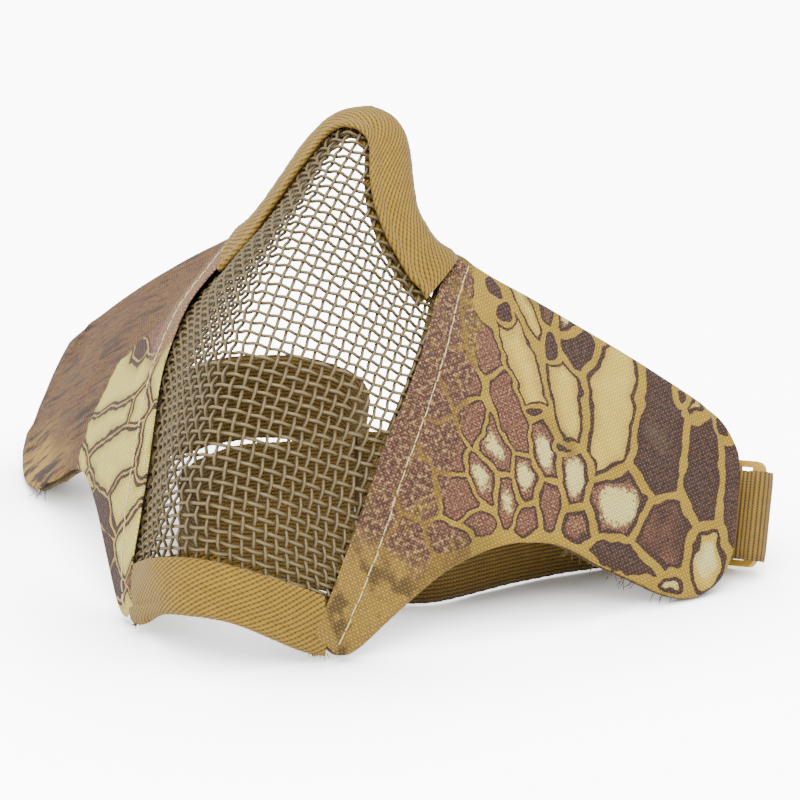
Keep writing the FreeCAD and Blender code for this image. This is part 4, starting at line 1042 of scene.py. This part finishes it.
def cell_edges(rear, up, cells):
    """Score and metric slope of the nearest cell, distance to the next, tone and heart."""
    x = (rear + 0.9 * soft_noise(rear / 5.0, up / 5.0, 3)
         + 0.45 * soft_noise(rear / 2.1, up / 2.1, 4))
    y = (up + 0.9 * soft_noise(rear / 5.0 + 9, up / 5.0 + 5, 5)
         + 0.45 * soft_noise(rear / 2.1, up / 2.1 + 7, 6))
    best, second = np.full((2,) + rear.shape, 1e9)
    best_slope, second_slope = np.zeros((2,) + rear.shape + (2,))
    tone, heart = np.zeros((2,) + rear.shape)
    for centre_x, centre_y, xx, xy, yy, cell_tone, cell_heart in cells:
        dx, dy = x - centre_x, y - centre_y
        score = np.sqrt(np.maximum(xx * dx * dx + 2 * xy * dx * dy + yy * dy * dy, 1e-6))
        slope = np.stack([(xx * dx + xy * dy) / score, (xy * dx + yy * dy) / score], -1)
        first = score < best
        middle = (~first) & (score < second)
        second = np.where(first, best, np.where(middle, score, second))
        second_slope = np.where(first[..., None], best_slope,
                                np.where(middle[..., None], slope, second_slope))
        best = np.where(first, score, best)
        best_slope = np.where(first[..., None], slope, best_slope)
        tone = np.where(first, cell_tone, tone)
        heart = np.where(first, cell_heart * np.clip(1.25 - 1.25 * score, 0, 1), heart)
    between = np.maximum(np.linalg.norm(second_slope - best_slope, axis=-1), 0.02)
    steepness = np.maximum(np.linalg.norm(best_slope, axis=-1), 0.02)
    return best, steepness, (second - best) / between, tone, heart


def paint_cells(obj, side):
    """Store the printed cells on the finished cloth, from its cloth coordinates."""
    coords = np.empty(len(obj.data.vertices) * 3)
    obj.data.attributes["st"].data.foreach_get("vector", coords)
    rear, up, _ = coords.reshape(-1, 3).T
    best, steepness, edge, tone, heart = cell_edges(rear, up,
                                                    RIGHT_CELLS if side > 0 else LEFT_CELLS)
    # far outside its ellipse a cell ends too
    reach = 1.32 if side > 0 else 1.55
    edge = np.minimum(edge, np.maximum(reach - best, 0.0) / steepness)
    if side > 0:
        line_width = 0.62 + 0.70 * smoothstep(34, 62, rear + 0.25 * (up - 30))
        ground = 1 - smoothstep(10, 27, rear + 0.05 * (up - 20))
        ground = np.maximum(ground, (1 - smoothstep(-12, 2, up)) * (1 - smoothstep(26, 42, rear)))
        ground = ground * (1 - 0.95 * smoothstep(52, 64, up) * smoothstep(8, 16, rear))
        streaks = 0 * rear
    else:
        line_width = np.full(rear.shape, 0.42)
        ground = np.maximum(smoothstep(44, 58, rear + 0.35 * up),
                            smoothstep(40, 52, up + 0.35 * rear))
        ground = np.maximum(ground, smoothstep(1.45, 1.75, best))
        streaks = ((1 - smoothstep(14, 34, up)) * smoothstep(70, 92, rear)
                   + 0.5 * (1 - smoothstep(8, 22, up)) * smoothstep(50, 70, rear))
    add_attribute(obj, "cell", np.stack([edge, tone, heart], -1))
    add_attribute(obj, "zone", np.stack([np.clip(ground, 0, 1), line_width,
                                         np.clip(streaks, 0, 1)], -1))


# ---------------------------------------------------------------- wing covers and linings
COVER_GRID = ((92, 64))
LINING_GRID = ((110, 80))
PUFF_FRAMES = 20
PUFF_LIMIT = 1.1           # most the cloth may swell


def wing_cover(side, label):
    """Padded cover with a vertex group that holds its sewn parts."""
    rear, up = wing_grid(*COVER_GRID, side)
    inward = np.minimum(edge_distance(rear, up, side), rear - seam_rear(up) + 2.5)
    pad = smoothstep(9.5, 17.0, rear) * smoothstep(0.0, 6.0, inward)
    thick = 0.85 + 0.55 * smoothstep(8.5, 12, rear) + 1.95 * pad
    roll = 0.45 * (1 - smoothstep(0.0, 1.6, inward))
    # slight unevenness of hand-sewn cloth
    waves = (0.28 * np.sin(rear * 0.11 + 0.07 * up + side)
             + 0.22 * np.sin(up * 0.17 - 0.05 * rear + 2.0)
             + 0.12 * np.sin(rear * 0.31 + up * 0.23)) * smoothstep(2, 12, inward)
    # fold near the upper rear corner: a ridge and the dip behind it
    high = smoothstep(46, 56, up)
    ridge = 1.1 * np.exp(-(((rear - 93) * 0.8 + (up - 57) * 0.6) / 1.8) ** 2)
    dip = 0.9 * np.exp(-(((rear - 96.5) * 0.8 + (up - 57) * 0.6) / 1.6) ** 2)
    fold = ridge * smoothstep(0.5, 3, inward) * high - dip * high
    outer = wing_point(rear, up, -roll + waves * 0.35 + fold)
    inner = wing_point(rear, up, -roll - thick * 0.92 + waves * 0.2)
    obj = two_skins(label + "_wing_cloth", outer, inner, rear, up, side, MAT_CAMO[side],
                    ("st", "mm"))
    group = obj.vertex_groups.new(name="sewn")
    for i, weight in enumerate(np.clip(1 - pad, 0, 1).ravel().tolist()):
        if weight > 0.02:
            group.add([i, i + pad.size], weight, 'REPLACE')
    return obj


def add_pressure(obj):
    """Cloth under inner pressure, pinned where it is sewn."""
    cloth = obj.modifiers.new("puff", 'CLOTH')
    settings = cloth.settings
    settings.quality = 5
    settings.mass = 0.3
    settings.tension_stiffness = 18
    settings.compression_stiffness = 12
    settings.shear_stiffness = 8
    settings.bending_stiffness = 2.5
    settings.use_pressure = True
    settings.uniform_pressure_force = 4.0
    settings.vertex_group_mass = "sewn"
    settings.pin_stiffness = 1.0
    settings.effector_weights.gravity = 0.0
    cloth.collision_settings.use_collision = False
    cloth.point_cache.frame_start = 1
    cloth.point_cache.frame_end = PUFF_FRAMES


def read_points(mesh):
    points = np.empty(len(mesh.vertices) * 3)
    mesh.vertices.foreach_get("co", points)
    return points.reshape(-1, 3)


def puff(objects):
    """Swell the pads with a cloth simulation and keep the result."""
    scene = bpy.context.scene
    scene.frame_start = 1
    scene.frame_end = PUFF_FRAMES
    for obj in objects:
        add_pressure(obj)
    for number in range(1, PUFF_FRAMES + 1):
        scene.frame_set(number)
    depsgraph = bpy.context.evaluated_depsgraph_get()
    for obj in objects:
        evaluated = obj.evaluated_get(depsgraph)
        swollen = read_points(evaluated.to_mesh())
        evaluated.to_mesh_clear()
        rest = read_points(obj.data)
        move = swollen - rest
        length = np.linalg.norm(move, axis=1)
        # a soft limit keeps the swelling smooth
        limit = PUFF_LIMIT / 1000.0
        move = move * (limit * np.tanh(length / limit) / np.maximum(length, 1e-9))[:, None]
        obj.modifiers.clear()
        obj.data.vertices.foreach_set("co", (rest + move).ravel())
        obj.data.update()
    scene.frame_set(1)


def subdivide(obj, levels):
    modifier = obj.modifiers.new("smooth", 'SUBSURF')
    modifier.levels = modifier.render_levels = levels
    modifier.boundary_smooth = 'PRESERVE_CORNERS'
    depsgraph = bpy.context.evaluated_depsgraph_get()
    mesh = bpy.data.meshes.new_from_object(obj.evaluated_get(depsgraph))
    coarse = obj.data
    obj.modifiers.clear()
    obj.data = mesh
    mesh.polygons.foreach_set("use_smooth", [True] * len(mesh.polygons))
    bpy.data.meshes.remove(coarse)


def wing_lining(side, label):
    rear, up = wing_grid(*LINING_GRID, side, inset=0.5)
    inward = np.minimum(edge_distance(rear, up, side), rear - seam_rear(up))
    # the lining hangs in shallow soft dents between its sewn edges
    dent = (0.35 * np.sin(rear * 0.19 + 0.4) * np.sin(up * 0.15 + 1.1)
            * smoothstep(1, 8, inward))
    offset = -3.15 - 0.35 * smoothstep(0, 5, inward) + dent
    return two_skins(label + "_lining_cloth", wing_point(rear, up, offset - 0.1),
                     wing_point(rear, up, offset - 0.9), rear, up, side, MAT_LINING, ("mm",))


covers = [wing_cover(side, label) for side, label in SIDES]
puff(covers)
for cover, (side, label) in zip(covers, SIDES):
    subdivide(cover, levels=2)
    paint_cells(cover, side)
    attach_folding(cover, side, label, "camo", "hem", "wing_cover", "wing_foam")
for side, label in SIDES:
    attach_folding(wing_lining(side, label), side, label, "lining", "wing_lining", "seam_facing")

# ---------------------------------------------------------------- seam stitches
STITCH = 3.3               # length of a stitch
STITCH_PITCH = 3.72
stitch_rear = curve([-45, -28, -15, 2.5, 33, 60, 73], [9.6, 9.0, 8.4, 7.0, 7.2, 8.4, 10.4])


def seam_stitches(side, label):
    tubes = []
    start = -43.6
    while start + STITCH < 72.8:
        i = len(tubes)
        share = np.linspace(0, 1, 9)
        up = start + STITCH * share
        arch = np.sin(math.pi * share)
        path = wing_point(stitch_rear(up) + 0.12 * math.sin(i * 2.3), up, 0.24 * arch ** 0.5 - 0.06)
        tubes.append(tube(on_side(path, side), on_side(WING_OUT, side),
                          0.19 * (0.75 + 0.25 * arch)))
        start += STITCH_PITCH + 0.10 * math.sin(i * 1.3)
    attach_folding(join_tubes(label + "_seam_thread", tubes, MAT_THREAD), side, label,
                   "thread", "seam_stitches")


for side, label in SIDES:
    seam_stitches(side, label)

# ---------------------------------------------------------------- webbing
WEB_W = 25.0
GLIDE_T = 3.0              # thickness of the tri-glide buckles
GLIDE_GAP = 0.25           # between webbing and buckle
TAB_T = 1.3
STRAP_T = 1.5
WEB_DROP = -0.5            # webbing centre against the buckle centre, across the webbing
TAB_OFFSET = -(5.8 + TAB_T / 2)    # tab centre behind the wing surface
TAB_DROP = {1: 0.8, -1: 0.0}       # and how much further in it lies on each side
TAB_FACE = GLIDE_T / 2 + GLIDE_GAP + TAB_T / 2
STRAP_FACE = GLIDE_T / 2 + GLIDE_GAP + STRAP_T / 2
TAB_SLOT, TAB_TURN = 4.05, 1.35    # place and bend radius where the tab crosses the buckle
STRAP_SLOT, STRAP_TURN = -3.7, 1.45    # the same for the strap
TAB_FOLD, TAB_LEAD = 7.9, 4.75     # place of the tab's fold and height of its outer run
UPRIGHT = np.array([0.0, 0.0, 1.0])


def glide_frame(centre, along, across):
    """Buckle frame: centre, along the webbing, across it, out of its face."""
    across = unit(across)
    along = unit(along - across * np.dot(along, across))
    return centre, along, across, unit(np.cross(along, across))


LEFT_GLIDE_REAR, LEFT_GLIDE_UP = 98.0, 35.6
GLIDE_RIGHT = glide_frame(np.array([104.35, 110.03, 14.36]), np.array([0.985, -0.17, 0.0]),
                          (-0.06, 0.42, 1.0))
GLIDE_LEFT = glide_frame(
    wing_point(LEFT_GLIDE_REAR, LEFT_GLIDE_UP, -12.4),
    wing_point(LEFT_GLIDE_REAR + 1, LEFT_GLIDE_UP) - wing_point(LEFT_GLIDE_REAR - 1, LEFT_GLIDE_UP),
    wing_point(LEFT_GLIDE_REAR, LEFT_GLIDE_UP + 1) - wing_point(LEFT_GLIDE_REAR, LEFT_GLIDE_UP - 1))


def glide_points(glide, *places):
    """Drawing points from (along, face) places at a buckle."""
    centre, along, across, face = glide
    return [centre + along * a + across * WEB_DROP + face * f for a, f in places]


def glide_arc(glide, centre_along, centre_face, radius, start, end, count):
    """Arc at a buckle, from start to end in degrees."""
    angles = [math.radians(start + (end - start) * i / count) for i in range(count + 1)]
    return glide_points(glide, *((centre_along + radius * math.cos(angle),
                                  centre_face + radius * math.sin(angle)) for angle in angles))


def tab_path(glide, sewn, reach, drop):
    """From the sewn end, round the buckle's bar and back between."""
    run = [wing_point(rear, up, TAB_OFFSET - drop) for rear, up in sewn]
    run += glide_points(glide, *reach)
    fold = glide_arc(glide, TAB_FOLD, (TAB_LEAD - TAB_FACE) / 2, (TAB_LEAD + TAB_FACE) / 2,
                     90, -90, 12)
    turn_in = glide_arc(glide, TAB_SLOT + TAB_TURN, TAB_TURN - TAB_FACE, TAB_TURN, -90, -180, 4)
    turn_out = glide_arc(glide, TAB_SLOT - TAB_TURN, TAB_FACE - TAB_TURN, TAB_TURN, 0, 90, 4)
    return (list(resample(run, step=1.6)) + fold[1:] + glide_points(glide, (6.6, -TAB_FACE))
            + turn_in[1:] + glide_points(glide, (TAB_SLOT, 0.0)) + turn_out
            + glide_points(glide, (1.2, TAB_FACE), (-1.0, TAB_FACE), (-3.0, TAB_FACE)))


def strap_loop(glide):
    """The strap's passage through the buckle."""
    centre = STRAP_SLOT - STRAP_TURN
    return (glide_arc(glide, centre, STRAP_TURN - STRAP_FACE, STRAP_TURN, -90, 0, 4)[1:]
            + glide_points(glide, (STRAP_SLOT, 0.0))
            + glide_arc(glide, centre, STRAP_FACE - STRAP_TURN, STRAP_TURN, 0, 90, 4))


def tab_across(point, glide, start):
    """Across direction: the wing's before start, turning to the buckle's."""
    k = smoothstep(start, start + 12.0, np.dot(point - WING_ORIGIN, WING_REAR))
    return unit(WING_UP * (1 - k) + glide[2] * k)


def right_strap_across(point):
    k = smoothstep(72.0, 94.0, point[0])
    return unit(UPRIGHT * (1 - k) + GLIDE_RIGHT[2] * k)


def left_strap_across(point):
    lean = unit(np.array([0.0, 0.30, 1.0]))
    leaning = smoothstep(6.0, 36.0, -point[0])
    k = smoothstep(40.0, 78.0, -point[0])
    return unit((UPRIGHT * (1 - leaning) + lean * leaning) * (1 - k)
                + on_side(GLIDE_LEFT[2], -1) * k)


def ribbon(name, path, across_at, body, replaced, thick, material, rib, wave):
    """Flat webbing along a path; rib is the depth of its cross ribs, wave its cupping."""
    centre = resample(path, step=0.36)
    count = len(centre)
    tangent = unit(np.gradient(centre, axis=0))
    across = np.array([across_at(point) for point in centre])
    across = unit(across - tangent * np.sum(across * tangent, -1, keepdims=True))
    face = unit(np.cross(tangent, across))
    along = arc_length(centre)
    ribs = rib * np.cos(2 * math.pi * along / 1.45)
    half_width = WEB_W / 2 + 0.10 * np.sin(along * 0.31) + 0.07 * np.sin(along * 1.7) + ribs * 0.55
    cup = wave * (np.sin(along * 0.085 + 0.6) + 0.5 * np.sin(along * 0.21))
    shares = np.linspace(-1, 1, 9)
    profile = [(share, 1) for share in shares] + [(share, -1) for share in shares[::-1]]
    points = np.zeros((count, len(profile), 3))
    coords = np.zeros((count, len(profile), 3))
    for j, (share, front) in enumerate(profile):
        # the selvedge is thinner
        edge = 1 - 0.28 * smoothstep(0.86, 1.0, abs(share))
        offset = front * (thick / 2 + ribs * 0.6) * edge + cup * (share * share - 0.4)
        points[:, j] = centre + across * (half_width * share)[:, None] + face * offset[:, None]
        coords[:, j, 0] = along
        coords[:, j, 1] = share * WEB_W / 2 + front * 3.1
        coords[:, j, 2] = front
    obj = new_mesh(name, points, loft_faces(count, len(profile)), material, {"mm": coords})
    attach(obj, body, "webbing", replaced)


TAB_WEB = dict(thick=TAB_T, material=MAT_WEB, rib=0.13, wave=0.0)
STRAP_WEB = dict(thick=STRAP_T, material=MAT_STRAP, rib=0.05, wave=0.12)
TAB_REACH = [(-1.6, 5.6), (3.5, 5.1), (TAB_FOLD, TAB_LEAD)]    # (along, face) at the buckle

# sewn parts as (rear, up) on the wing
right_tab = tab_path(GLIDE_RIGHT, [(78.0, 31.0), (83.0, 31.4), (88.0, 32.0), (92.0, 32.6),
                                   (95.0, 33.0)], TAB_REACH, TAB_DROP[1])
left_tab = tab_path(GLIDE_LEFT, [(66.0, 34.2), (71.0, 34.4), (76.0, 34.5), (81.0, 34.6),
                                 (86.0, 34.7)], [(-5.0, 5.75)] + TAB_REACH, TAB_DROP[-1])
ribbon("right_tab_webbing", right_tab, lambda point: tab_across(point, GLIDE_RIGHT, 92.0),
       "right_wing", "right_webbing_tab", **TAB_WEB)
ribbon("left_tab_webbing", [on_side(point, -1) for point in left_tab],
       lambda point: on_side(tab_across(on_side(point, -1), GLIDE_LEFT, 84.0), -1),
       "left_wing", "left_webbing_tab", **TAB_WEB)

# strap centre lines (x, y, z)
RIGHT_TAIL = [(-5.0, 101.0, 12.9), (8.0, 104.2, 12.9), (22.0, 105.8, 12.9), (42.0, 106.6, 12.9),
              (60.0, 108.6, 12.9), (76.0, 111.6, 13.1), (86.0, 113.4, 13.6)]
RIGHT_MAIN = [(81.0, 97.0, 13.5), (71.0, 86.6, 12.9), (60.0, 75.0, 12.9), (49.0, 60.0, 12.9),
              (39.0, 46.0, 12.9), (24.0, 40.6, 12.9), (8.0, 41.5, 12.9), (-6.0, 39.6, 12.9),
              (-18.0, 34.8, 12.9), (-26.4, 34.2, 12.9), (-27.1, 34.45, 12.9)]
CENTRE_RUN = [(-26.9, 34.4, 12.9), (-34.6, 41.0, 12.9), (-38.2, 52.0, 12.9), (-37.5, 66.0, 12.9),
              (-31.0, 77.5, 12.9), (-20.5, 85.0, 12.9), (-11.0, 92.5, 12.9), (-6.4, 97.2, 12.9)]
LEFT_RUN = [(-6.0, 97.9, 13.0), (-5.4, 102.6, 13.3), (-8.0, 108.0, 14.6), (-12.0, 115.5, 17.5),
            (-20.0, 120.5, 22.5), (-32.0, 119.0, 25.6), (-45.0, 113.6, 26.4),
            (-57.0, 107.8, 24.6), (-67.0, 102.6, 21.2)]

tail = RIGHT_TAIL + glide_points(GLIDE_RIGHT, (-11.5, -STRAP_FACE - 0.25), (-8.6, -STRAP_FACE),
                                 (-6.2, -STRAP_FACE))
main = glide_points(GLIDE_RIGHT, (-6.2, STRAP_FACE), (-8.6, STRAP_FACE),
                    (-12.0, STRAP_FACE + 0.5)) + RIGHT_MAIN
right_path = (list(resample(tail, step=3.0)) + strap_loop(GLIDE_RIGHT)
              + list(resample(main, step=3.0))[1:])
ribbon("strap_right_elastic", right_path, right_strap_across, "right_strap", "strap_right_run",
       **STRAP_WEB)
ribbon("strap_centre_elastic", CENTRE_RUN, lambda point: UPRIGHT, "centre_strap",
       "strap_centre_slack", **STRAP_WEB)

entry = glide_points(GLIDE_LEFT, (-16.0, -STRAP_FACE - 0.6), (-12.0, -STRAP_FACE - 0.3),
                     (-8.6, -STRAP_FACE), (-6.2, -STRAP_FACE))
leaving = strap_loop(GLIDE_LEFT) + glide_points(
    GLIDE_LEFT, (-6.6, STRAP_FACE), (-9.0, STRAP_FACE), (-12.0, STRAP_FACE),
    (-16.0, STRAP_FACE - 0.2))
left_path = list(resample(LEFT_RUN + [on_side(point, -1) for point in entry], step=3.0))
left_path += [on_side(point, -1) for point in leaving]
ribbon("strap_left_elastic", left_path, left_strap_across, "left_strap", "strap_left_run",
       **STRAP_WEB)

# ---------------------------------------------------------------- tab stitches
# front, rear, lower and upper limits of each box of stitches on the wing
TAB_BOX = {1: (80.0, 92.0, 21.6, 42.0), -1: (68.0, 80.0, 24.4, 44.6)}


def tab_stitches(side, label):
    """Stitched box with both diagonals, on the inner face of the tab."""
    front, rear, low, high = TAB_BOX[side]
    corners = [(front, low), (rear, low + 0.8), (rear, high + 0.8), (front, high), (front, low),
               (rear, high + 0.8)]
    lines = [*zip(corners[:-1], corners[1:]), ((rear, low + 0.8), (front, high))]
    bow = np.sin(math.pi * np.linspace(0, 1, 7)) ** 0.6 * 0.28
    offset = TAB_OFFSET - TAB_DROP[side] - TAB_T / 2 - 0.02 - bow
    tubes = []
    for (rear0, up0), (rear1, up1) in lines:
        count = max(2, int(math.hypot(rear1 - rear0, up1 - up0) / 2.6))
        for i in range(count):
            share = np.linspace((i + 0.10) / count, (i + 0.90) / count, 7)
            path = wing_point(rear0 + (rear1 - rear0) * share, up0 + (up1 - up0) * share, offset)
            tubes.append(tube(on_side(path, side), on_side(WING_OUT, side), 0.22, 6))
    attach(join_tubes(label + "_tab_thread", tubes, MAT_THREAD), label + "_wing", "thread")


for side, label in SIDES:
    tab_stitches(side, label)

# ---------------------------------------------------------------- frayed yarn ends
FRAY_R = 0.10
FRAY_SHARE = np.linspace(0, 1, 6)[:, None]


def wing_fray(side, label, count):
    """Loose yarns along the lower edge of a wing."""
    tubes = []
    for _ in range(count):
        rear = 60 + 38 * RNG.random()
        length = 0.8 + 1.6 * RNG.random()
        heading = (RNG.normal() * 0.5 * WING_REAR + (-1.0 - RNG.random()) * WING_UP
                   + RNG.normal() * 0.45 * WING_OUT)
        path = (wing_point(rear, float(right_lower(rear)) + 0.5, -1.6)
                + FRAY_SHARE * length * heading
                + FRAY_SHARE * FRAY_SHARE * RNG.normal() * 0.5 * WING_REAR)
        path[:, 2] = np.maximum(path[:, 2], 0.25)
        tubes.append(tube(on_side(path, side), on_side(WING_OUT, side), FRAY_R, 5))
    attach(join_tubes(label + "_wing_fray", tubes, MAT_LINING), label + "_wing", "camo")


def chin_fray():
    """Loose yarns at both ends of the chin tape."""
    tubes = []
    for side, _ in SIDES:
        for _ in range(16):
            x = 24.5 + 3.8 * RNG.random()
            root = np.array([x, float(chin_y(x)) + 0.6, float(chin_z(x)) + 0.8])
            heading = np.array([0.25 + 0.4 * RNG.normal(), 0.4 * RNG.normal(), -1.0])
            path = root + FRAY_SHARE * (0.8 + 1.3 * RNG.random()) * heading
            path[:, 2] = np.maximum(path[:, 2], 0.2)
            tubes.append(tube(on_side(path, side), np.array([0, -1.0, 0.1]), FRAY_R, 5))
    attach(join_tubes("chin_fray", tubes, MAT_TWILL), "front_shell", "binding")


wing_fray(1, "right", count=34)
wing_fray(-1, "left", count=20)
chin_fray()

# ---------------------------------------------------------------- buckles
for node in ("right_tri_glide", "left_tri_glide"):
    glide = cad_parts[node]
    # the product's buckles may come without a material slot
    if len(glide.material_slots) == 0:
        glide.data.materials.append(MAT_PLASTIC)
    for slot in glide.material_slots:
        slot.material = MAT_PLASTIC


# ---------------------------------------------------------------- floor, light, camera
def floor_material():
    """White that glows to the camera, except in the shade close to the product."""
    m = Shader("floor_white")
    tint = m.noise(m.object_coords(), detail=2.0, rough=0.5, scale=2.0)
    camera_ray = m.node("ShaderNodeLightPath").outputs["Is Camera Ray"]
    occlusion = m.node("ShaderNodeAmbientOcclusion", samples=8)
    occlusion.inputs["Distance"].default_value = 0.07
    glow = m.mul(camera_ray, m.math('POWER', occlusion.outputs["AO"], 2.2))
    color = m.mix(tint, (0.955, 0.955, 0.955, 1.0), (0.97, 0.97, 0.97, 1.0))
    return m.finish(color, 0.6, Emission_Color=(1.0, 1.0, 1.0, 1.0),
                    Emission_Strength=m.mul(glow, 9.0))


bpy.ops.mesh.primitive_plane_add(size=6.0, location=(0, 0, 0))
floor = bpy.context.object
floor.name = "floor"
floor.data.materials.append(floor_material())

WORLD_LIGHT = 0.72         # strength that lights the product
WORLD_SEEN = 14.0          # added where the camera sees the world directly


def white_world():
    world = bpy.data.worlds.new("studio")
    bpy.context.scene.world = world
    world.use_nodes = True
    tree = world.node_tree
    background = tree.nodes["Background"]
    background.inputs[0].default_value = (1.0, 1.0, 1.0, 1)
    light_path = tree.nodes.new("ShaderNodeLightPath")
    strength = tree.nodes.new("ShaderNodeMath")
    strength.operation = 'MULTIPLY_ADD'
    tree.links.new(light_path.outputs["Is Camera Ray"], strength.inputs[0])
    strength.inputs[1].default_value = WORLD_SEEN
    strength.inputs[2].default_value = WORLD_LIGHT
    tree.links.new(strength.outputs[0], background.inputs[1])


def area_light(name, location, target, size, power, color=(1, 1, 1)):
    light = bpy.data.lights.new(name, 'AREA')
    light.energy = power
    light.size = size
    light.color = color
    obj = bpy.data.objects.new(name, light)
    bpy.context.scene.collection.objects.link(obj)
    obj.location = location
    direction = Vector(target) - Vector(location)
    obj.rotation_euler = direction.to_track_quat('-Z', 'Y').to_euler()


white_world()
area_light("key", location=(0.25, -0.75, 1.05), target=(0.0, 0.0, 0.04), size=0.50, power=15.0,
           color=(1.0, 0.98, 0.95))
area_light("fill", location=(-0.95, -0.35, 0.6), target=(0.0, 0.0, 0.05), size=0.8, power=4.0,
           color=(0.96, 0.98, 1.0))
area_light("top", location=(0.1, 0.45, 1.1), target=(0.0, 0.0, 0.03), size=0.8, power=7.0)

CAMERA_PLACE = (359.827, -763.959, 367.566)
CAMERA_RIGHT = np.array([0.92414048, 0.38189851, 0.01085839])
CAMERA_UP = np.array([-0.13690578, 0.30449134, 0.94262497])
CAMERA_FORWARD = np.array([-0.35668079, 0.87260446, -0.33367689])

lens = bpy.data.cameras.new("camera")
lens.sensor_width = 36.0
lens.lens = 154.2339
lens.clip_start = 0.01
camera = bpy.data.objects.new("camera", lens)
bpy.context.scene.collection.objects.link(camera)
axes = np.column_stack((CAMERA_RIGHT, CAMERA_UP, -CAMERA_FORWARD, product_metres(CAMERA_PLACE)))
camera.matrix_world = Matrix(axes.tolist() + [[0.0, 0.0, 0.0, 1.0]])
bpy.context.scene.camera = camera
